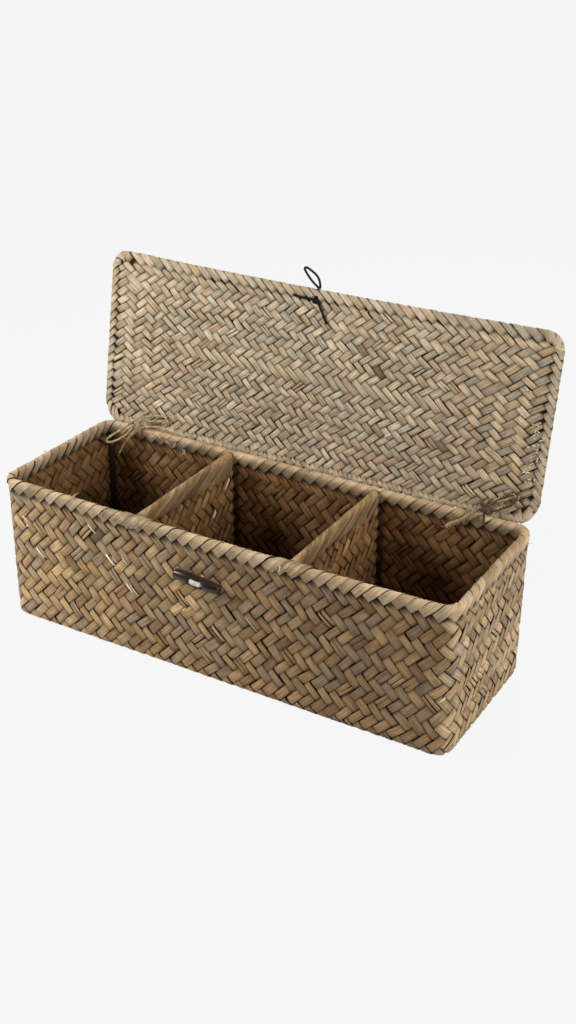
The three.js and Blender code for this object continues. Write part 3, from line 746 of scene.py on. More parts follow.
def split_some(runs, share, rng):
    """Some stretches are split lengthwise into two narrow ones, side by side: returns rows and widths."""
    chosen = rng.random(len(runs)) < share
    halves = runs[chosen]
    whole = (~chosen).sum()
    shift = np.repeat([0, -0.245, 0.245], [whole, len(halves), len(halves)])
    width = np.repeat([1, 0.49], [whole, 2 * len(halves)])
    rows = np.concatenate([runs[~chosen], halves, halves])
    rows[:, 0] -= rows[:, 2] * shift
    rows[:, 1] += shift
    return rows, width[:, None, None]


def add_leaves(name, runs, surface, body, node, seed, palette, weights, lift, crown, square,
               split=0.1, recolour=None, shade=None):
    """One piece made of many leaf patches on a surface."""
    rng = np.random.default_rng(seed)
    tone = strip_tints(runs[:, 4], rng, palette, weights)
    runs, width = split_some(np.column_stack([runs, tone]), split, rng)
    runs, tone = runs[:, :5], runs[:, 5:]
    if recolour:
        tone = recolour(runs, tone, rng)
    points, grain, painted_shading = leaf_patches(runs, surface, rng, lift, crown, square, LEAF_WIDTH * width)
    # Painted light and shade by place, such as the notches under the rim and the corners inside, multiply it.
    if shade:
        painted_shading = painted_shading * shade(points)
    piece = add_patches(name, points, leaf, body, grain, tone, painted_shading)
    if node:
        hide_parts(node)
    return piece


# %% [markdown]
# ## The outer wall
# The strips of the wall are about 7.4 mm wide and lean at 46 degrees. A hundred of them pass any level on
# the way round. The board starts a little off the front's middle, so that the pattern falls as on the real
# box, and a slow drift keeps the rows from being ruler-straight.

# %% Outer wall
LAP = 200
ROW, FOOT_ROW = 5.37, 8.3
COLUMN = wall_round / LAP
WALL_START = 7.8
WALL_TOP_ROW = 19
SQUARE = math.hypot(COLUMN, ROW)


def drift(c, r):
    """A slow wave in both directions that repeats after one lap of the box."""
    lap = 2 * math.pi / LAP
    wave = np.sin(7 * lap * c + 0.55 * r) + np.sin(-13 * lap * c + 0.31 * r + 1.7)
    return 0.11 * (wave + 0.7 * np.sin(23 * lap * c - 0.9 * r)) / 1.5


def wall_board(x, z):
    """Board column and row of a place on the front wall."""
    return np.mod((x - WALL_START) / COLUMN, LAP), (z - FOOT_ROW) / ROW


def wall_sheet(c, r, h):
    return outer_wall(COLUMN * (c + drift(c, r)) + WALL_START, FOOT_ROW + ROW * (r + drift(r + 3, c)), h)


WALL_TONES = [(181, 148, 104), (165, 131, 88), (165, 141, 109), (198, 165, 120), (138, 104, 68),
              (152, 132, 106)]
WALL_SHARES = [0.27, 0.2, 0.19, 0.14, 0.08, 0.12]


def one_lap(c, r):
    return np.where((r >= -2) & (r <= WALL_TOP_ROW), slant_twill(c, r), 0)


def keep_lap(runs):
    """Only the stretches whose middle is on the first lap, with strips numbered round and round."""
    runs = runs[(runs[:, 0] >= 0) & (runs[:, 0] < LAP)]
    strip = runs[:, 4] % (LAP // 2)
    runs[:, 4] = np.where(runs[:, 4] >= FALLING, FALLING + strip, strip)
    return runs


DARK_LEAVES = [(1.8, 40.4), (-99.5, 101.0)]
NOTCH_LEVEL = 110.2


def painted_shade_under_rim(points):
    """Painted shade: the notches between the rim's tabs are nearly black; the sag is added back to the height.
    """
    x, y, z = np.moveaxis(points, -1, 0)
    return 1 - 0.88 * smooth_step((z + rim_sag(x, y) - NOTCH_LEVEL) / 1.2)


def nearest_runs(runs, columns, rows):
    """For each wanted place on the board, the stretch whose middle is nearest."""
    away = (runs[:, :1] - np.asarray(columns)) ** 2 + (runs[:, 1:2] - np.asarray(rows)) ** 2
    return np.argmin(away, axis=0)


def painted_light_and_dark_leaves(runs, tone, rng):
    """Painted light: lighter on the left end and the back, darker and warmer towards the front's right end and
    greyer on the right wall; also a few dark stretches of leaf.
    """
    s = np.mod(COLUMN * runs[:, 0] + WALL_START + wall_round / 2, wall_round) - wall_round / 2
    front = smooth_step((s + 200) / 395) * (1 - smooth_step((s - 180) / 12))
    side = smooth_step((s - 180) / 12) * (1 - smooth_step((s - 318) / 12))
    tone = tone * (1 + 0.14 * (1 - front - side)[:, None])
    tone = tone * (1 - np.array([0.28, 0.33, 0.38]) * front[:, None])
    tone = tone * (1 + np.array([-0.02, 0.03, 0.1]) * side[:, None])
    places = np.array(DARK_LEAVES)
    tone[nearest_runs(runs, *wall_board(places[:, 0], places[:, 1]))] *= 0.35
    return tone


wall_runs = keep_lap(plait(one_lap, -30, LAP + 30, -2, WALL_TOP_ROW))
# Painted light: the wall's leaves are lighter towards the foot and darker towards the top, with painted shade
# in the notches under the rim.
add_leaves("wall_leaves", wall_runs, wall_sheet, "tray", "tray_outer_weave", 11,
           WALL_TONES, WALL_SHARES, lift=0.86, crown=0.56, square=SQUARE, split=0.1, recolour=painted_light_and_dark_leaves,
           shade=lambda points: (1.2 - 0.0019 * points[..., 2]) * painted_shade_under_rim(points))

# %% [markdown]
# ## The lining
# The inside of the walls is plaited in the same way. The light that reaches it has bounced off other leaf,
# so it looks warmer and darker than the outside. Its strips are the ends of the rim's folds, so the board
# is shifted to meet them.

# %% Lining
# These tones, used inside the box, are darker and warmer than the wall's: painted shade for the inside.
LINING_TONES = [(148, 107, 63), (136, 96, 55), (139, 108, 69), (161, 121, 76), (114, 79, 45)]
LINING_SHARES = [0.3, 0.25, 0.17, 0.14, 0.14]
FOLD_ROW = WALL_TOP_ROW + 1.5
FOLD_LEVEL = FOOT_ROW + ROW * FOLD_ROW
RIM_WALK = 2 * (RIM_START - FOLD_LEVEL) + RIM_BEND * math.pi + RIM_FLAT
LINING_START = -(WALL_START + RIM_WALK * COLUMN / ROW) - 41 * COLUMN


def lining_sheet(u, r, h):
    return inner_wall(COLUMN * (u + drift(u, r)) + LINING_START, FOOT_ROW + ROW * (r + drift(r + 3, u)), h)


def lining_lap(c, r):
    return np.where((r >= 0) & (r <= WALL_TOP_ROW), slant_twill(c, r), 0)


def corner_shade(points):
    """Painted shade: nearly black upright bands in the back left corner and on the back wall beside each
    divider, stronger lower down.
    """
    x, y, z = np.moveaxis(points, -1, 0)
    corner = np.exp(-(((x + 187.2) ** 2 + (y - 62.2) ** 2) / 13) ** 2)
    beside = sum(np.exp(-(((x - at - 4.5) / 3.4) ** 4)) for at in (-DIVIDER_OUT, DIVIDER_OUT))
    beside = beside * (y > 50)
    deep = smooth_step((112 - z) / 30)
    return (1 - 0.95 * corner - 0.85 * beside * (0.6 + 0.4 * deep)) * painted_shade_under_rim(points)


lining_runs = keep_lap(plait(lining_lap, -30, LAP + 30, 0, WALL_TOP_ROW))
add_leaves("lining_leaves", lining_runs, lining_sheet, "tray", "tray_inner_weave", 12,
           LINING_TONES, LINING_SHARES, lift=0.6, crown=0.4, square=SQUARE, split=0.07, shade=corner_shade)

# %% [markdown]
# ## A painted shadow in a corner
# In the back left corner an upright dark strip stands where the two walls meet: a painted shadow for the deep
# shade there.

# %% Corner strip
def add_corner_shadow_strip(name, corner_u, width):
    """An upright strip in an inside corner, a little crowned, painted nearly black as the shadow there."""
    u = corner_u + width / 2 * np.linspace(-1, 1, 7)[None]
    w = np.linspace(4, 112, 40)[:, None]
    h = 1.5 - 0.6 * (2 * (u - corner_u) / width) ** 2 + 0.1 * np.sin(w / 5)
    points = inner_wall(u, w, h)
    grain = np.stack(np.broadcast_arrays(w, u), axis=-1)
    # Painted shadow: a very dark brown, a little uneven up the strip.
    tint = np.ones((40, 7, 1)) * linear((36, 25, 16)) * (1 + 0.25 * np.sin(w / 7))[..., None]
    add_piece(name, points, grid_faces(40, 7), leaf, "tray", grain, tint)


corner_bend = (TRAY_CORNER - WALL_INSET) * math.pi / 2
back_left = (TRAY_HALF_X - TRAY_CORNER) * 3 + (TRAY_HALF_Y - TRAY_CORNER) * 2 + corner_bend * 2.5
add_corner_shadow_strip("corner_shadow_back_left", -back_left, 7.4)

# %% [markdown]
# ## The rim
# At the top the rising strips are folded over the edge and run down the inside, and the falling strips end
# inside the fold. So the rim is a row of long patches, side by side, that start under the first falling
# row outside, go over the crest and dive under the first falling row inside. Side by side they make a
# smooth round edge with fine slanting lines and a painted highlight on the crest, and a row of dark notches
# below it, which are painted shade. In front of each divider a bunch of thin strands goes over the rim as
# well.

# %% Rim
RIM_STEPS = np.linspace(0, 1, 25)[None, :, None]
RIM_TONES = [(186, 158, 122), (172, 144, 108), (178, 157, 126), (196, 170, 134), (154, 126, 91)]
RIM_SHARES = [0.3, 0.24, 0.2, 0.16, 0.1]


def rim_tabs(c, r_low, r_high, rng, lift, crown):
    """Long patches along one strip from row to row, with heights that dive only at the two ends."""
    vary, p, tail = varied(rng, len(c)), RIM_STEPS, 0.28
    low, high = r_low - tail + vary(0.05), r_high + tail + vary(0.05)
    r = low + (high - low) * (p - 0.09 * np.sin(2 * math.pi * p))
    c = c[:, None, None] + (r - FOLD_ROW)
    rise = smooth_step((r - low) / 0.35) * smooth_step((high - r) / 0.35)
    q = ACROSS[None, None]
    share = np.clip(0.97 + vary(0.04), 0.88, 1.05)
    crest = np.sin(math.pi * p) ** 2
    h = lift * (2 * rise - 1) * (1 - 0.4 * crest) - crown * (1 - 0.7 * crest) * np.abs(q) ** 6
    h = h + (vary(0.1) - 0.24) * q + vary(0.08)
    side = q * share / 2 + vary(0.02) + vary(0.05) * (p - 0.5)
    s = COLUMN * (c - side + drift(c, 20 + 0 * r)) + WALL_START
    w = FOOT_ROW + ROW * (r + side + drift(r + 3, c) * smooth_step((21 - r) / 2))
    points = rim_surface(s, w, h)
    # Painted shade at the tabs' ends and edges, and a painted highlight along the crest.
    painted_shading = (0.3 + 0.7 * smooth_step((r - low) / 0.5) * smooth_step((high - r) / 0.9))
    painted_shading = painted_shading * (1 - 0.7 * (1 - 0.8 * crest) * np.abs(q) ** 12) * (0.88 + 0.5 * crest ** 5)
    return points, grain_map((r - low) * SQUARE, side * SQUARE, rng), painted_shading


rim_rng = np.random.default_rng(21)
rim_columns = 2 * np.arange(LAP // 2) + FOLD_ROW
row_over = (FOLD_LEVEL + RIM_WALK - FOOT_ROW) / ROW
points, grain, painted_shading = rim_tabs(rim_columns, WALL_TOP_ROW + 0.5, row_over + 1.0, rim_rng, 0.9, 0.14)
tone = strip_tints(np.arange(LAP // 2), rim_rng, RIM_TONES, RIM_SHARES, spread=0.06)
rim = add_patches("rim_tabs", points, folded_leaf, "tray", grain, tone, painted_shading)
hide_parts("rim_fold")


def toned(rng, palette, weights, count, spread):
    """Each patch picks a tone of its own and strays from it in brightness."""
    return linear(palette)[rng.choice(5, count, p=weights)] * np.exp(spread * rng.standard_normal((count, 1)))


def add_rim_bunch(side, x, seed):
    """Thin strands from a divider's front end, which lie over the rim and slant like its tabs."""
    rng = np.random.default_rng(seed)
    count = 13
    vary, p, q = varied(rng, count), RIM_STEPS, ACROSS[None, None]
    low, high = RIM_START - 7.5 + vary(1.0), RIM_START + 8.5 + vary(0.8)
    w = low + (high - low) * p
    s = x + np.linspace(-13, 9, count)[:, None, None] + vary(0.8) + 0.9 * (w - RIM_START) + 1.5 * q
    rise = smooth_step(p / 0.12) * smooth_step((1 - p) / 0.12)
    crest = np.sin(math.pi * p) ** 2
    h = (1.1 * (2 * rise - 1) + 0.3) * (1 - 0.4 * crest) - 0.16 * np.abs(q) ** 6 + vary(0.06) + vary(0.06) * q
    tone = toned(rng, RIM_TONES, RIM_SHARES, count, 0.12)
    # Painted shade at the strands' ends and edges, and a painted highlight along the crest.
    painted_shading = (0.45 + 0.55 * rise) * (1 - 0.55 * np.abs(q) ** 9) * (0.9 + 0.4 * crest ** 5)
    add_patches(f"rim_bunch_{side}", rim_surface(s, w + 0 * s, h), folded_leaf, "tray",
                grain_map(w, 1.25 * q, rng), tone, painted_shading)


add_rim_bunch("left", -DIVIDER_OUT, 24)
add_rim_bunch("right", DIVIDER_OUT, 25)

# %% [markdown]
# ## What shows in the gaps
# Between the strips the real box shows other strips lying deeper, in shade. One closed shell, painted dark
# brown for that shade, sits between the outer wall and the lining, so no light leaks through and every gap
# looks deep.

# %% Tray core
def shell_faces(rows, columns):
    """Faces of rings of points, one ring a row, with a fan over the first and the last ring."""
    count = rows * columns
    fans = np.concatenate([fan(count, 0, columns), fan(count + 1, count - columns, columns, turned=True)])
    return grid_faces(rows, columns, closed_columns=True).tolist() + fans.tolist()


def add_core(name, rings, body, colour):
    """A closed shell over rings of points in millimetres."""
    rows, columns = rings.shape[:2]
    points = np.vstack([rings.reshape(-1, 3), rings[0].mean(axis=0), rings[-1].mean(axis=0)])
    tint = np.tile(linear(colour), (len(points), 1))
    grain = points[:, :2] + points[:, 2:]
    return add_piece(name, points, shell_faces(rows, columns), shade_leaf, body, grain, tint)


CORE_PROFILE = [
    (30, 1.5), (8, 1.2), (6.2, 0.35), (4.6, 0.35), (3.6, 1.6), (2.9, 3.4), (2.45, 8), (2.35, 60), (2.2, 112),
    (1.9, 119), (2.4, 120.8), (3.9, 120.8), (4.4, 119), (3.9, 112), (3.85, 60), (3.8, 8), (8, 2.6), (30, 2.6)]
# Dark brown painted shade for the gaps between strips.
GAP_SHADE_BROWN = (40, 26, 13)
lap = np.linspace(0, wall_round, 160, endpoint=False)
core_rings = np.stack([tray_points(lap, inset, z + 0 * lap) for inset, z in CORE_PROFILE])
add_core("tray_gap_shade", core_rings, "tray", GAP_SHADE_BROWN)

# %% [markdown]
# ## Underside and floor
# Both are plaited too. They are flat, so their surface is simply left, right, front and back. Stretches
# whose middle falls outside the rounded outline are left out.

# %% Underside and floor
def inside_outline(x, y, half_x, half_y, corner):
    """True inside a rectangle with rounded corners."""
    dx = np.maximum(np.abs(x) - (half_x - corner), 0)
    dy = np.maximum(np.abs(y) - (half_y - corner), 0)
    return (np.abs(x) < half_x) & (np.abs(y) < half_y) & (np.hypot(dx, dy) < corner)


def flat_runs(half_x, half_y, corner):
    """Stretches whose middle is inside a rounded outline."""
    reach_c, reach_r = int(half_x / COLUMN) + 4, int(half_y / ROW) + 4
    runs = plait(slant_twill, -reach_c, reach_c, -reach_r, reach_r)
    return runs[inside_outline(runs[:, 0] * COLUMN, runs[:, 1] * ROW, half_x, half_y, corner)]


UNDERSIDE_LEVEL, FLOOR_LEVEL = 0.75, 3.3


def flat_sheet(c, r, way, level):
    """A level sheet, which the underside uses back to front so that its leaves face down."""
    return settle(np.stack([COLUMN * (c + drift(c, r)), way * ROW * (r + drift(r, c)), level], axis=-1))


def underside_sheet(c, r, h):
    return flat_sheet(c, r, -1, np.maximum(UNDERSIDE_LEVEL - h, LOWEST))


def floor_sheet(c, r, h):
    return flat_sheet(c, r, 1, FLOOR_LEVEL + h)


add_leaves("underside_leaves", flat_runs(180, 55.5, 4), underside_sheet, "tray", None, 13,
           WALL_TONES, WALL_SHARES, lift=0.4, crown=0.25, square=SQUARE)
add_leaves("floor_leaves", flat_runs(183, 58, 8), floor_sheet, "tray", None, 14,
           LINING_TONES, LINING_SHARES, lift=0.4, crown=0.25, square=SQUARE)

# %% [markdown]
# ## The dividers
# Each divider is a folded plaited panel. Below the fold the leaf runs smooth for a finger's width before
# the plaiting begins: long strands cross the crest at a low slant. So a divider is two plaited faces, a
# row of long crest strands and a dark core between them.

# %% Dividers
DIVIDER_HALF, DIVIDER_TOP_ROW = 2.3, 18
CREST_ROUND, CREST_TOP = 3.1, 122.4
STRAND_TONES = [(148, 119, 83), (136, 107, 71), (142, 117, 85), (160, 133, 97), (120, 93, 60)]


def divider_face(x, way):
    """The face towards plus X (way 1) or minus X (way -1), with height off the panel."""
    def sheet(c, r, h):
        y = way * COLUMN * (c + drift(c + 9, r))
        z = FOOT_ROW + ROW * (r + drift(r + 3, c + 20))
        return settle(np.stack([x + way * (DIVIDER_HALF - 0.5 + h), y, z], axis=-1))
    return sheet


def divider_board(c, r):
    inside = (np.abs(c) * COLUMN < 62.5) & (r >= 0) & (r <= DIVIDER_TOP_ROW)
    return np.where(inside, slant_twill(c, r), 0)


def crest_surface(x, y, w, h):
    """Over the divider's top: up one side, round the crest and down the other."""
    turn = np.clip(w / CREST_ROUND, -math.pi / 2, math.pi / 2)
    down = np.maximum(0, np.abs(w) - CREST_ROUND * math.pi / 2)
    thin = 0.75 * smooth_step(down / 14)
    out = (CREST_ROUND + h - thin) * np.sin(turn)
    z = CREST_TOP - CREST_ROUND + (CREST_ROUND + h) * np.cos(turn) - down
    return settle(np.stack([x + out, y + 0 * z, z], axis=-1))


def add_crest(name, x, seed):
    """Long strands over the top of a divider: each starts at its own place and strays in every way."""
    rng = np.random.default_rng(seed)
    count, slope = 46, math.atan2(15, 30)
    vary, p, q = varied(rng, count), np.linspace(-1, 1, 19)[None, :, None], ACROSS[None, None]
    start = np.linspace(-80.5, 64.5, count)[:, None, None] + vary(1.2)
    reach = 13 + 9 * smooth_step((start - 5) / 40) + vary(1.5)
    w = reach * p
    y = start + 16 + (30 + vary(3)) * p
    width = 4.6 + vary(0.8)
    lift = 0.25 + vary(0.12) - 1.1 * smooth_step((np.abs(p) - 0.8) / 0.2)
    h = lift - 0.35 * np.abs(q) ** 3.4 + vary(0.12) * q
    y = np.clip(y - q * width / 2 * math.sin(slope), -62.8, 62.8)
    w = w + q * width / 2 * math.cos(slope)
    tone = toned(rng, STRAND_TONES, LINING_SHARES, count, 0.16)
    # Painted shade at the strands' ends and edges, and a painted highlight along the top of the crest.
    painted_shading = (0.62 + 0.38 * smooth_step((1 - np.abs(p)) / 0.35)) * (1 - 0.45 * np.abs(q) ** 6)
    painted_shading = painted_shading * (0.92 + 0.75 * np.exp(-(p * 6) ** 2))
    add_patches(name, crest_surface(x, y, -w, h), folded_leaf, "tray",
                grain_map(38 * p, q * width / 2, rng), tone, painted_shading, turned=True)


def add_divider(side, x, seed):
    """Two plaited faces, the crest over them and the dark core."""
    node = f"divider_{side}"
    board = plait(divider_board, -14, 14, 0, DIVIDER_TOP_ROW)
    for way, label in ((1, "right_face"), (-1, "left_face")):
        add_leaves(f"{node}_{label}", board, divider_face(x, way), "tray",
                   node if way == 1 else None, seed + way, LINING_TONES, LINING_SHARES,
                   lift=0.6, crown=0.4, square=SQUARE, split=0.08)
    add_crest(f"{node}_crest", x, seed)
    half = DIVIDER_HALF - 1.1
    side_profile = [(63.9, 8), (63.9, 109), (62.7, 112), (62.7, 120.9)]
    corners = [(-y, z) for y, z in side_profile] + side_profile[::-1]
    rings = np.array([[[x + dx, y, z] for y, z in corners] for dx in (-half, half)])
    # The core is painted dark brown, as shade between the two faces.
    add_core(f"{node}_gap_shade", settle(rings), "tray", GAP_SHADE_BROWN)


add_divider("left", -DIVIDER_OUT, 31)
add_divider("right", DIVIDER_OUT, 41)

# %% [markdown]
# ## The lid's two faces
# The lid's plaiting is finer and made of rings: the rows run along the long edges in the middle and turn
# to run along the short edges near the ends. Which strip is on top depends on which edge is nearer. The
# columns get wider towards the ends, as they do on the real lid.

# %% Lid faces
LID_ROW, LID_COLUMN = 3.55, 4.25
LID_MIDDLE = LID_WIDTH / 2
LID_FACE = 0.95


def lid_column(c):
    """A column is 4.25 mm wide in the middle and wider by the square of the distance."""
    return LID_COLUMN * c + 1.118e-4 * c ** 3


def lid_points(x, d, height):
    """x from the lid's middle, d from its hinge edge and height off its closed underside, swung open."""
    y = -(GAP + d)
    near = np.maximum(0, 1 + (y + GAP) / LID_BORDER)
    inner = 1 - height / LID_THICKNESS
    y = y + LID_HINGE_LIP * near * inner
    height = height - LID_HINGE_CURL * near ** 2 * inner
    x = x + LID_SHIFT
    along = np.maximum(0, 1 - ((x - LID_SHIFT) / LID_HALF_LENGTH) ** 2)
    y = y + LID_BOW * along * -y / LID_WIDTH
    return swing_open(np.stack(np.broadcast_arrays(x, y, LID_UNDER + height), axis=-1))


def lid_drift(c, r):
    """A slow wave like the tray's."""
    wave = np.sin(0.23 * c + 0.6 * r) + np.sin(-0.41 * c + 0.33 * r + 2.0)
    return 0.1 * (wave + 0.6 * np.sin(0.9 * c - 0.7 * r))


def lid_inner_sheet(c, r, h):
    """The face that the box shows inside; near the hinge it is stretched down to the longer lip."""
    x, d = lid_column(c + lid_drift(c, r)), LID_MIDDLE + LID_ROW * (r + lid_drift(r + 5, c))
    reach = LID_HINGE_LIP * (1 - LID_FACE / LID_THICKNESS)
    d = np.where(d < LID_BORDER, (d + reach) / (1 + reach / LID_BORDER), d)
    return lid_points(x, d, LID_FACE - h)


def lid_outer_sheet(c, r, h):
    """The face that is on top when the lid is closed, seen from the other side."""
    x, d = -lid_column(c + lid_drift(c + 7, r)), LID_MIDDLE + LID_ROW * (r + lid_drift(r + 9, c))
    return lid_points(x, d, LID_THICKNESS - LID_FACE + h)


def ring_twill(c, r):
    """Rows count from the middle line near the long edges, columns from the middle near the short ones."""
    rows, columns = np.abs(r), np.abs(c)
    long_gap = LID_MIDDLE - rows * LID_ROW
    short_gap = LID_HALF_LENGTH - lid_column(columns)
    by_row = np.where((rows <= 1) | (rows % 4 <= 1), 2, 1)
    by_column = np.where((columns % 4 == 3) | (columns % 4 == 0), 2, 1)
    top = np.where(short_gap < long_gap, by_column, by_row)
    inside = inside_outline(lid_column(c), r * LID_ROW, LID_HALF_LENGTH - LID_BORDER + 3.6,
                            LID_MIDDLE - LID_BORDER + 2.4, 9)
    hinge_rows = (r < 0) & (r >= -20) & (np.abs(lid_column(c)) < 178)
    return np.where(inside | hinge_rows, top, 0)


LID_TONES = [(210, 188, 156), (197, 173, 140), (202, 187, 160), (221, 199, 165), (183, 162, 133),
             (206, 175, 138)]
LID_SHARES = [0.28, 0.2, 0.22, 0.12, 0.08, 0.10]
TAN, GREY, PALE = linear((190, 158, 118)), linear((154, 142, 122)), linear((218, 190, 152))
DARK_FLOATS = [(59.6, 86.3), (112.8, 38.5), (38.8, 99.8)]
DARK_SHARES = np.array([[0.3, 0.24, 0.18], [0.5, 0.45, 0.4], [0.5, 0.45, 0.4]])


def lid_board(x, d):
    """Board column and row of a place on the lid's inner face."""
    columns = np.arange(-46, 47)
    return np.interp(x, lid_column(columns), columns), (d - LID_MIDDLE) / LID_ROW


def two_tone_end(runs, tone, rng):
    """At the right end the rising strips take turns between tan and grey, and the falling ones are pale."""
    share = smooth_step((lid_column(runs[:, 0]) - 80) / 70)[:, None] * 0.6
    pair = np.where(runs[:, 2:3] < 0, PALE, np.where((runs[:, 4:5] % 2) == 0, TAN, GREY))
    tone = tone * (1 - share) + share * pair * np.exp(0.08 * rng.standard_normal((len(runs), 1)))
    tone[nearest_runs(runs, *lid_board(*np.array(DARK_FLOATS).T))] *= DARK_SHARES
    return tone


def painted_shade_under_border(points):
    """Painted shade: the leaf is nearly black where it goes in under the border's tabs, at the free edge and
    both ends.
    """
    x, y, z = np.moveaxis(points, -1, 0)
    x = np.abs(x - LID_SHIFT)
    edge = LID_WIDTH + GAP - LID_BOW * (1 - (x / LID_HALF_LENGTH) ** 2) - np.hypot(y - HINGE[1], z - HINGE[2])
    end_shade = np.where(points[..., 0] < 0, 0.7, 0.2)
    return ((1 - 0.6 * smooth_step((9.6 - edge) / 1.5))
            * (1 - end_shade * smooth_step((7.6 - LID_HALF_LENGTH + x) / 1.3)))


lid_runs = plait(ring_twill, -46, 46, -21, 21)
outer_runs = lid_runs[lid_runs[:, 1] > -17.6]
LID_SQUARE = math.hypot(LID_COLUMN, LID_ROW)
add_leaves("lid_inner_leaves", lid_runs, lid_inner_sheet, "lid", "lid_inner_weave", 51,
           LID_TONES, LID_SHARES, lift=0.72, crown=0.46, square=LID_SQUARE, recolour=two_tone_end, split=0.05,
           shade=painted_shade_under_border)
add_leaves("lid_outer_leaves", outer_runs, lid_outer_sheet, "lid", "lid_outer_weave", 52,
           LID_TONES, LID_SHARES, lift=0.5, crown=0.34, square=LID_SQUARE, split=0.05)

# %% [markdown]
# ## The lid's border
# All round the lid the strips are folded over the edge, as on the tray's rim. The tabs stand at the
# spacing of the plaiting on each side, and a few fan round each corner. Each tab starts on the inner
# face, goes round the edge and ends on the outer face.

# %% Lid border
LID_CORNER = 15.0
EDGE_ROUND = 1.9
EDGE_FLAT = LID_THICKNESS - 2 * EDGE_ROUND
CORNER_TABS, LONG_SLANT = 3, 1.2
lid_lap = outline_length(LID_HALF_LENGTH, LID_MIDDLE, LID_CORNER, 0)


def border_surface(s, w, h):
    """w grows from the inner face outwards, round the edge and back in over the outer face."""
    e = w - (LID_BORDER - EDGE_ROUND)
    first = np.clip(e / EDGE_ROUND, 0, math.pi / 2)
    level = np.clip(e - EDGE_ROUND * math.pi / 2, 0, EDGE_FLAT)
    second = np.clip((e - EDGE_ROUND * math.pi / 2 - EDGE_FLAT) / EDGE_ROUND, 0, math.pi / 2)
    back = np.maximum(0, e - EDGE_ROUND * math.pi - EDGE_FLAT)
    inset = EDGE_ROUND - np.minimum(e, 0) - EDGE_ROUND * (np.sin(first) + np.cos(second) - 1) + back
    height = EDGE_ROUND * (1 - np.cos(first) + np.sin(second)) + level
    turn = first + second
    inset = inset - h * np.sin(turn) + 0.35
    height = height - (h - 0.35) * np.cos(turn)
    x, y = along_outline(s, inset, LID_HALF_LENGTH, LID_MIDDLE, LID_CORNER, 0)
    return lid_points(x, LID_MIDDLE - y, height)


def border_places():
    """Tab places round the lid, anticlockwise from the free edge's middle, with outer and inner slants."""
    long = LID_HALF_LENGTH - LID_CORNER
    short = LID_MIDDLE - LID_CORNER
    bend = LID_CORNER * math.pi / 2
    corner = bend * (np.arange(CORNER_TABS) + 0.5) / CORNER_TABS
    x = lid_column(np.arange(-60, 61) * 2 + 0.5)
    x = x[np.abs(x) < long]
    side = np.arange(-10, 10) * 2 * LID_ROW + LID_ROW
    side = side[np.abs(side) < short]
    half = np.concatenate([x + long, 2 * long + corner, 2 * long + bend + side + short,
                           2 * long + bend + 2 * short + corner])
    places = np.concatenate([half, half + lid_lap / 2]) - long
    long_side = np.full(len(x), LONG_SLANT)
    slants = np.concatenate([long_side, np.linspace(1.1, 1.0, CORNER_TABS), np.linspace(0.8, 1.5, len(side)),
                             np.linspace(1.0, 1.1, CORNER_TABS)])
    right = np.concatenate([long_side, np.linspace(0.9, -0.7, CORNER_TABS), np.full(len(side), -1.2),
                            np.linspace(-0.7, 0.9, CORNER_TABS)])
    return places, np.tile(slants, 2), np.concatenate([right, slants])


def add_border():
    """Long patches across the border; their width is the gap to the next tab."""
    places, slants, inner_slants = border_places()
    order = np.argsort(places)
    places, slants, inner_slants = places[order], slants[order], inner_slants[order]
    after = np.roll(places, -1)
    after[-1] += lid_lap
    pitch = after - places
    pitch = ((pitch + np.roll(pitch, 1)) / 2)[:, None, None]
    rng = np.random.default_rng(61)
    vary, p, q = varied(rng, len(places)), np.linspace(0, 1, 21)[None, :, None], ACROSS[None, None]
    whole = 2 * LID_BORDER - 4 * EDGE_ROUND + EDGE_ROUND * math.pi + LID_THICKNESS
    hinge_side = np.abs(places - lid_lap / 2) < 172
    low = np.where(hinge_side, 4.6, np.where(slants == LONG_SLANT, 0.9, 2.4))[:, None, None] + vary(0.3)
    high = whole + 1.6 + vary(0.3)
    w = low + (high - low) * p
    share = np.clip(0.95 + vary(0.05), 0.84, 1.06)
    fan = np.clip(np.gradient(inner_slants), 0, 1)[:, None, None]
    share = share * (1 + 1.1 * fan * np.clip(1.3 - w / LID_BORDER, 0, 1))
    inner, outer = inner_slants[:, None, None], slants[:, None, None]
    slope = inner + (outer - inner) * smooth_step((w - LID_BORDER + 2) / 4)
    half = q * share * pitch / 2 / (1 + slope ** 2)
    s = places[:, None, None] - slope * (w - LID_BORDER) + half
    rise = smooth_step((w - low) / 2) * smooth_step((high - w) / 2)
    h = 0.42 * (2 * rise - 1) - 0.4 * np.abs(q) ** 3.4 + (vary(0.12) - 0.15) * q + vary(0.07)
    w = w + slope * half
    points = border_surface(s, w, h)
    # Painted shade at the tabs' ends and edges, and a darker band round the edge at the lid's right end.
    right_edge = (inner < 0) * np.exp(-((w - LID_BORDER - 1.2) / 2.6) ** 2)
    painted_shading = (0.36 + 0.64 * rise) * (1 - 0.58 * np.abs(q) ** 8) * (1 - 0.34 * right_edge)
    grain = grain_map(w * np.hypot(1, inner), q * share * pitch / 2 / np.hypot(1, inner), rng)
    tone = strip_tints(np.arange(len(places)), rng, LID_TONES, LID_SHARES) * 0.96
    border = add_patches("lid_border_tabs", points, folded_leaf, "lid", grain, tone, painted_shading,
                         turned=True)
    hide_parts("lid_edge_fold")
    return len(places)


print(add_border(), "tabs round the lid of", round(lid_lap), "mm")
LID_PROFILE = [(30, 1.5), (3, 1.5), (0.9, 2.0), (0.9, 2.5), (3, 3.0), (30, 3.0)]
lap = np.linspace(0, lid_lap, 140, endpoint=False)


def lid_ring(inset, height):
    x, y = along_outline(lap, inset, LID_HALF_LENGTH, LID_MIDDLE, LID_CORNER, 0)
    return lid_points(x, LID_MIDDLE - y, height + 0 * lap)


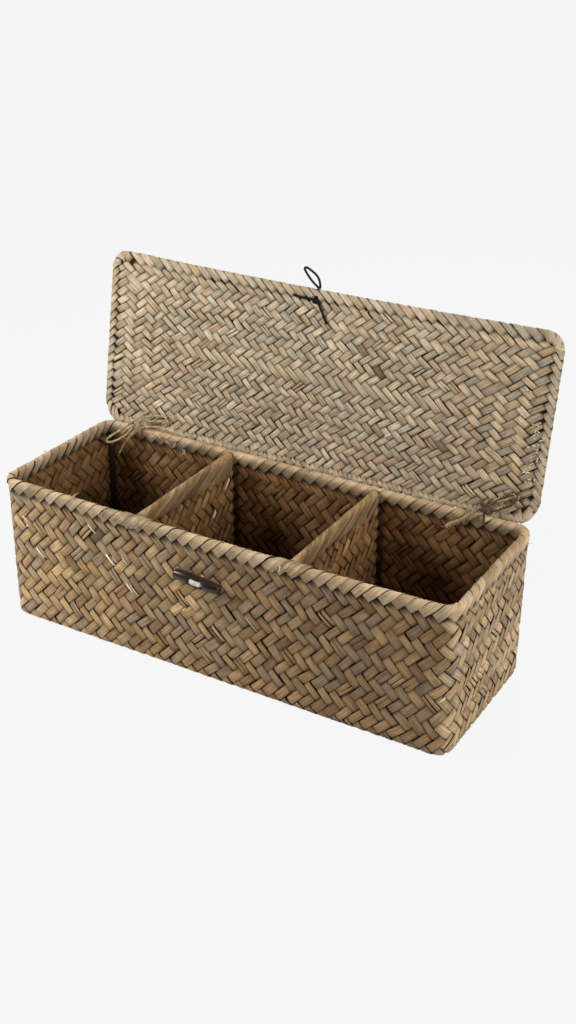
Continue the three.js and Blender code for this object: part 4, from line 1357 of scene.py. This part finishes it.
# The lid's core is painted dark brown, as shade in the gaps of its plaiting.
add_core("lid_gap_shade", np.stack([lid_ring(inset, height) for inset, height in LID_PROFILE]), "lid",
         (46, 32, 19))

# %% [markdown]
# ## Pale slivers
# Here and there the pale inner side of a leaf shows as a thin bright sliver on the front. They are the same
# patches, only much narrower and standing a little higher, placed where the real box has them.

# %% Slivers
WALL_SLIVERS = [
    (-172.6, 91.5, 11, -1, 0.19), (-171.2, 85.2, 6, 1, 0.15), (-105.5, 102, 13, -1, 0.2),
    (-91, 79, 14, -1, 0.22), (-86.2, 80.5, 10, -1, 0.14), (-76.7, 82, 11, -1, 0.14), (-73.2, 60, 13, -1, 0.2),
    (-69, 59.5, 13, -1, 0.2), (-159.3, 65.3, 14, -1, 0.18), (-108.6, 40, 8, -1, 0.13),
    (-21, 66, 6, -1, 0.1), (-24, 55.3, 7, 1, 0.12), (35.4, 63.0, 18, -1, 0.11), (187, 48, 9, 1, 0.15)]
DIVIDER_SLIVERS = [(54.2, 98.4, 14, 1, 0.3), (35.1, 79.4, 10, 1, 0.3)]
LID_SLIVERS = [(70.8, 39.3, 9, 1, 0.3)]
IVORY = linear((244, 234, 208))


def divider_place(y, z):
    """Board column and row of a place on a divider's right face."""
    return y / COLUMN, (z - FOOT_ROW) / ROW


def add_slivers(name, slivers, board, sheet, body, square, seed, lift=1.05):
    """Narrow stretches above their neighbours, from rows of two distances, length, lean and width."""
    across, up, long, lean, width = np.array(slivers).T
    rows = np.stack([*board(across, up), lean, long / square], axis=1)
    points, grain, painted_shading = leaf_patches(rows, sheet, np.random.default_rng(seed), lift, 0.1, square,
                                       width[:, None, None], spread=0.01, dive=0.0, ramp=0.35)
    tone = np.tile(IVORY, (len(rows), 1))
    # Painted shade at the slivers' ends.
    add_patches(name, points, leaf, body, grain, tone, 0.35 + 0.65 * painted_shading)


add_slivers("pale_slivers", WALL_SLIVERS, wall_board, wall_sheet, "tray", SQUARE, 71)
add_slivers("divider_slivers", DIVIDER_SLIVERS, divider_place, divider_face(-DIVIDER_OUT, 1), "tray",
            SQUARE, 72)
add_slivers("lid_sliver", LID_SLIVERS, lid_board, lid_inner_sheet, "lid", LID_SQUARE, 73, lift=0.8)

# %% [markdown]
# ## Frayed ends
# Handmade plaiting is never clean. Fine fibres stand up along the rim, torn bits of leaf show pale at the
# lid's right edge, and the twine is hairy. Each fibre is a thin tube with four sides that bends a little and
# thins towards its tip. Its route is a start, a direction and a sideways bend that grows with the square of
# the distance.

# %% Frayed ends
def add_fibres(name, start, way, length, width, colour, body, seed, bend=0.35):
    """Thin tapering tubes, one for each start and direction."""
    rng = np.random.default_rng(seed)
    start, way = np.asarray(start, float), np.asarray(way, float)
    count, rings, sides = len(start), 7, 4
    way = unit(way)
    across = unit(np.cross(way, rng.standard_normal((count, 3))))
    level = np.cross(way, across)
    p = np.linspace(0, 1, rings)[None, :, None]
    long = (length * rng.uniform(0.6, 1.3, count))[:, None, None]
    line = start[:, None] + long * (p * way[:, None] + bend * p ** 2 * across[:, None])
    angle = round_angles(sides)
    ring = np.cos(angle)[None, :, None] * across[:, None] + np.sin(angle)[None, :, None] * level[:, None]
    radius = width / 2 * (1 - 0.8 * p ** 2)
    tube = line[:, :, None] + radius[..., None] * ring[:, None]
    points = np.concatenate([tube.reshape(count, -1, 3), line[:, :1], line[:, -1:]], axis=1)
    side = grid_faces(rings, sides, closed_columns=True)
    tip = rings * sides
    caps = np.concatenate([fan(tip, 0, sides, turned=True), fan(tip + 1, tip - sides, sides)])
    first = np.arange(count)[:, None, None] * points.shape[1]
    faces = (side[None] + first).reshape(-1, 4).tolist() + (caps[None] + first).reshape(-1, 3).tolist()
    tint = np.ones((count, points.shape[1], 1)) * colour * rng.uniform(0.7, 1.15, (count, 1, 1))
    grain = points[..., :2] * 2
    return add_piece(name, points, faces, twine_fibre, body, grain, tint)


RIM_FIBRES, LINING_FIBRES, LID_FIBRES = 110, 90, 120
FRAYS_EACH, CURLS_EACH = 5, 3
fray_rng = np.random.default_rng(81)
lap_at = fray_rng.uniform(0, wall_round, RIM_FIBRES)
rim_at = RIM_START + fray_rng.choice([-6.5, 1.5, 9.5], RIM_FIBRES)
rim_starts = rim_surface(lap_at, rim_at, np.full(RIM_FIBRES, 0.2))
rim_ways = fray_rng.normal(0, 0.8, (RIM_FIBRES, 3)) + np.array([0, 0, 0.7])
add_fibres("rim_fibres", rim_starts, rim_ways, 3.4, 0.32, linear((206, 186, 152)), "tray", 82)
RIM_CURLS = [
    (-123.2, -68, 121.5, 0.1, 0.2, 1), (-139.5, 59.5, 121.5, -0.6, -0.5, 0.5),
    (-135.3, 61.5, 121.3, 0.9, -0.5, 0.1), (-128.0, 60.5, 119, 0.7, -0.6, -0.5),
    (-118.4, 60.1, 119.5, 0.4, -0.7, -0.9), (-111.2, 59.8, 120, 0.8, -0.5, 0.2),
    (-109, 60, 116, 0.3, -0.8, -0.8), (-97.5, -71, 119, 1, -0.2, 0.3), (-66, -70.8, 118, 0.9, -0.2, 0.5),
    (60, -70.5, 118, 0.8, -0.3, -0.5)]
curls = np.repeat(np.array(RIM_CURLS, float), CURLS_EACH, axis=0)
curls[:, :3] += fray_rng.normal(0, 0.7, (len(curls), 3))
curls[:, 3:] += fray_rng.normal(0, 0.3, (len(curls), 3))
add_fibres("rim_curls", curls[:, :3], curls[:, 3:], 5.0, 0.8, linear((214, 196, 164)), "tray", 83,
           bend=0.6)
around, up = fray_rng.uniform(0, wall_round, LINING_FIBRES), fray_rng.uniform(30, 110, LINING_FIBRES)
lining_starts = inner_wall(around, up, np.full(LINING_FIBRES, 0.3))
add_fibres("lining_fibres", lining_starts, fray_rng.normal(0, 1, (LINING_FIBRES, 3)), 3.0, 0.35,
           linear((190, 164, 122)), "tray", 84)
LID_FRAYS = [(188.2, 72.8), (190.7, 62.1), (189.1, 52.7), (188.8, 45.1), (184.6, 38.1), (187.3, 31.1),
             (165.5, 10.4), (175.5, 94.5), (189.5, 67), (187, 57)]
frays = np.repeat(np.array(LID_FRAYS), FRAYS_EACH, axis=0)
frays = frays + fray_rng.normal(0, 1.8, frays.shape)
fray_starts = lid_points(frays[:, 0], frays[:, 1], np.full(len(frays), -0.1))
fray_ways = np.array([-0.4, -0.9, 0.2]) + fray_rng.normal(0, 0.8, (len(frays), 3))
add_fibres("lid_frays", fray_starts, fray_ways, 2.3, 1.2, linear((226, 212, 182)), "lid", 85)
along, out = fray_rng.uniform(-185, 185, LID_FIBRES), fray_rng.uniform(3, 136, LID_FIBRES)
lid_starts = lid_points(along, out, np.full(LID_FIBRES, 0.4))
add_fibres("lid_fibres", lid_starts, fray_rng.normal(0, 1, (LID_FIBRES, 3)), 2.8, 0.34,
           linear((222, 206, 174)), "lid", 86)


BRUSH = 9


def add_hairs(side, count, colour, seed, length):
    """Hairs all along the bows of one tie, and a brush of them at each loose end."""
    rng = np.random.default_rng(seed)
    lines = [line for name, line in bow_lines.items() if name.endswith(side)]
    spots = np.concatenate([line[rng.integers(0, len(line), count // len(lines))] for line in lines])
    ways = rng.normal(0, 1, (len(spots), 3))
    ends = np.concatenate([np.repeat(line[-1:], BRUSH, axis=0) for line in lines])
    out = np.concatenate([np.repeat(line[-1:] - line[-5:-4], BRUSH, axis=0) for line in lines])
    out = unit(out) + rng.normal(0, 0.22, out.shape)
    hairs = add_fibres(f"tie_hairs_{side}", np.concatenate([spots, ends]), np.concatenate([ways, out]), length,
                       0.26, colour, None, seed)
    bend_with_lid(hairs)


add_hairs("left", 60, TWINE_PALE, 87, 2.6)
add_hairs("right", 200, linear((182, 152, 110)), 88, 3.8)

# %% [markdown]
# ## The toggle
# The toggle is a piece of dark polished horn, thicker in the middle, with a hollow carved in its front where
# the twine crosses. A surface of revolution gives the barrel. Where a point lies inside the hollow's
# outline it is pressed back to the hollow's floor, with a soft lip.

# %% Toggle
TOGGLE_AT = np.array([CLOSURE_X, -75.5, 88.0])
TOGGLE_TILT = math.radians(4.9)
TOGGLE_LENGTH, TOGGLE_MIDDLE, TOGGLE_END = 39.0, 9.0, 7.2
EYE_LENGTH, EYE_WIDTH, EYE_DEPTH = 14.4, 6.4, 3.0


def toggle_place(points):
    """Turns a toggle drawn level by its tilt and moves it to the front wall."""
    x, y, z = np.moveaxis(points, -1, 0)
    c, s = math.cos(TOGGLE_TILT), math.sin(TOGGLE_TILT)
    return np.stack([x * c + z * s, y, -x * s + z * c], axis=-1) + TOGGLE_AT


def toggle_barrel(rows=120, sides=72):
    """Radius falls with the fourth power of the distance from the middle and rounds off at the ends."""
    share = np.sin(np.linspace(-math.pi / 2, math.pi / 2, rows))[:, None]
    share = np.sign(share) * np.abs(share) ** 0.8
    angle = round_angles(sides)[None]
    radius = TOGGLE_MIDDLE / 2 - (TOGGLE_MIDDLE - TOGGLE_END) / 2 * share ** 4
    lip = np.clip((1 - np.abs(share)) * TOGGLE_LENGTH / 2 / 1.1, 0, 1)
    radius = radius * (0.72 + 0.28 * np.sqrt(1 - (1 - lip) ** 2))
    x = share * TOGGLE_LENGTH / 2 + 0 * angle
    y, z = -radius * np.cos(angle), radius * np.sin(angle)
    straight = EYE_LENGTH / 2 - EYE_WIDTH / 2
    reach = np.hypot(np.maximum(np.abs(x) - straight, 0), z)
    press = smooth_step((EYE_WIDTH / 2 - reach) / 0.7) * (y < 0)
    floor = -TOGGLE_MIDDLE / 2 + EYE_DEPTH
    y = y + press * np.maximum(floor - y, 0)
    return np.stack([x, y, z], axis=-1)


horn, node, links, shader = new_material("polished_horn")
place = node("ShaderNodeTexCoord")
stretch = node("ShaderNodeMapping", Vector=place.outputs["Object"], Scale=(60, 420, 420))
streaks = node("ShaderNodeTexNoise", Vector=stretch.outputs[0], Scale=1.0, Detail=5.0, Roughness=0.6)
ramp = node("ShaderNodeValToRGB", Fac=streaks.outputs["Fac"])
ramp.color_ramp.elements[0].position, ramp.color_ramp.elements[1].position = 0.35, 0.72
ramp.color_ramp.elements[0].color = (*linear((22, 15, 11)), 1)
ramp.color_ramp.elements[1].color = (*linear((74, 57, 46)), 1)
links.new(ramp.outputs[0], shader.inputs["Base Color"])
gloss = node("ShaderNodeMapRange", Value=streaks.outputs["Fac"], To_Min=0.14, To_Max=0.28)
links.new(gloss.outputs[0], shader.inputs["Roughness"])
bump = node("ShaderNodeBump", Strength=0.3, Distance=0.0001, Height=streaks.outputs["Fac"])
links.new(bump.outputs[0], shader.inputs["Normal"])
shader.inputs["Specular IOR Level"].default_value = 0.42

barrel = toggle_barrel()
rows, sides = barrel.shape[:2]
ends = np.array([[-TOGGLE_LENGTH / 2, 0, 0], [TOGGLE_LENGTH / 2, 0, 0]])
points = toggle_place(np.vstack([barrel.reshape(-1, 3), ends]))
toggle = add_piece("toggle_horn", points, shell_faces(rows, sides), horn, "toggle")
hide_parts("toggle")

# %% [markdown]
# ## The toggle's twine
# Cream twine crosses the hollow, goes back through two holes and is knotted inside the front wall. It is
# short and pulled tight, so it is modelled as fixed twisted tubes.

# %% Toggle twine
STITCH_Y, STITCH_BACK, STITCH_HALF, STITCH_BEND = -3.05, 4.8, 3.9, 1.1
stitch_leg = [(STITCH_HALF, STITCH_BACK), (STITCH_HALF, 0), (STITCH_HALF, STITCH_Y + STITCH_BEND),
              (STITCH_HALF - STITCH_BEND, STITCH_Y)]
stitch_route = np.array([(-x, y, 0) for x, y in stitch_leg] + [(0, STITCH_Y - 0.25, 0)]
                        + [(x, y, 0) for x, y in stitch_leg[::-1]])
stitch_line = toggle_place(through_points(stitch_route, 0.3))
stitch = add_cord("toggle_stitch_twine", stitch_line, 3.9, TWINE_CREAM, "toggle", twine_fibre,
                  strands=3, pitch=4.5, depth=0.22)
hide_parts("toggle_stitch")
stem_rise = np.array([[0, 0, 0.02]]) * np.sin(np.linspace(0, 3, 24))[:, None]
stem_line = np.linspace([CLOSURE_X, -70.7, 88.0], [CLOSURE_X, -63.7, 88.05], 24) + stem_rise
stem = add_cord("toggle_stem_twine", stem_line, 2.6, TWINE_CREAM, "tray", twine_fibre,
                strands=3, pitch=5, depth=0.22)
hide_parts("toggle_stem")
stem_knot_line = knot_line(np.array([CLOSURE_X, -61.9, 88.0]), (4.6, 1.2, 4.6), 100)
stem_knot = add_cord("toggle_stem_knot_twine", stem_knot_line, 1.9, TWINE_CREAM, "tray",
                     twine_fibre, pitch=4, closed=True)
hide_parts("toggle_stem_knot")

# %% [markdown]
# ## Light and floor
# A plain pale floor and three soft lamps, as in a small studio. To the camera the floor and the world are
# mostly an even pale grey, with a faint shadow left in. The lamps light the box, with a little from all round.

# %% Stage
BACKDROP, FLOOR_PAINT = (*linear((245, 245, 245)), 1), (*linear((248, 248, 248)), 1)
LIT = (0, 0, 0.1)

floor_mesh = bpy.data.meshes.new("studio_floor")
floor_mesh.from_pydata([(-30, -30, 0), (30, -30, 0), (30, 30, 0), (-30, 30, 0)], [], [(0, 1, 2, 3)])
studio_floor = add_object("studio_floor", floor_mesh)
floor_paint, node, links, shader = new_material("floor_paint")
shader.inputs["Base Color"].default_value = (0.8, 0.8, 0.8, 1)
shader.inputs["Roughness"].default_value = 0.9
shader.inputs["Specular IOR Level"].default_value = 0.1
flat = node("ShaderNodeEmission", Color=FLOOR_PAINT, Strength=1.0)
ray = node("ShaderNodeLightPath")
amount = node("ShaderNodeMath", {"operation": "MULTIPLY"}, _0=ray.outputs["Is Camera Ray"], _1=0.95)
mixed = node("ShaderNodeMixShader", _0=amount.outputs[0], _1=shader.outputs[0], _2=flat.outputs[0])
links.new(mixed.outputs[0], floor_paint.node_tree.nodes["Material Output"].inputs["Surface"])
floor_mesh.materials.append(floor_paint)

world = bpy.data.worlds.new("studio_air")
bpy.context.scene.world = world
world.use_nodes = True
air = world.node_tree
background = air.nodes["Background"]
background.inputs["Color"].default_value = (1, 1, 1, 1)
background.inputs["Strength"].default_value = 0.12
seen = air.nodes.new("ShaderNodeBackground")
seen.inputs["Color"].default_value = BACKDROP
path = air.nodes.new("ShaderNodeLightPath")
blend_air = air.nodes.new("ShaderNodeMixShader")
air.links.new(path.outputs["Is Camera Ray"], blend_air.inputs[0])
air.links.new(background.outputs[0], blend_air.inputs[1])
air.links.new(seen.outputs[0], blend_air.inputs[2])
air.links.new(blend_air.outputs[0], air.nodes["World Output"].inputs["Surface"])


def add_lamp(name, place, size, watts):
    """A square soft lamp that faces the box."""
    data = bpy.data.lights.new(name, "AREA")
    data.shape, data.size, data.energy = "SQUARE", size, watts
    lamp = add_object(name, data)
    back = unit(np.array(place, float) - np.array(LIT))
    level = unit(np.cross([0, 0, 1], back))
    lamp.matrix_world = standing(place, level, np.cross(back, level), back)


add_lamp("key_lamp", (-0.62, -0.42, 0.62), 0.35, 6)
add_lamp("right_lamp", (1.1, -0.15, 0.6), 0.5, 9.2)
add_lamp("back_lamp", (-0.2, 1.0, 1.0), 0.6, 7)
bpy.context.scene.view_settings.view_transform = "Standard"
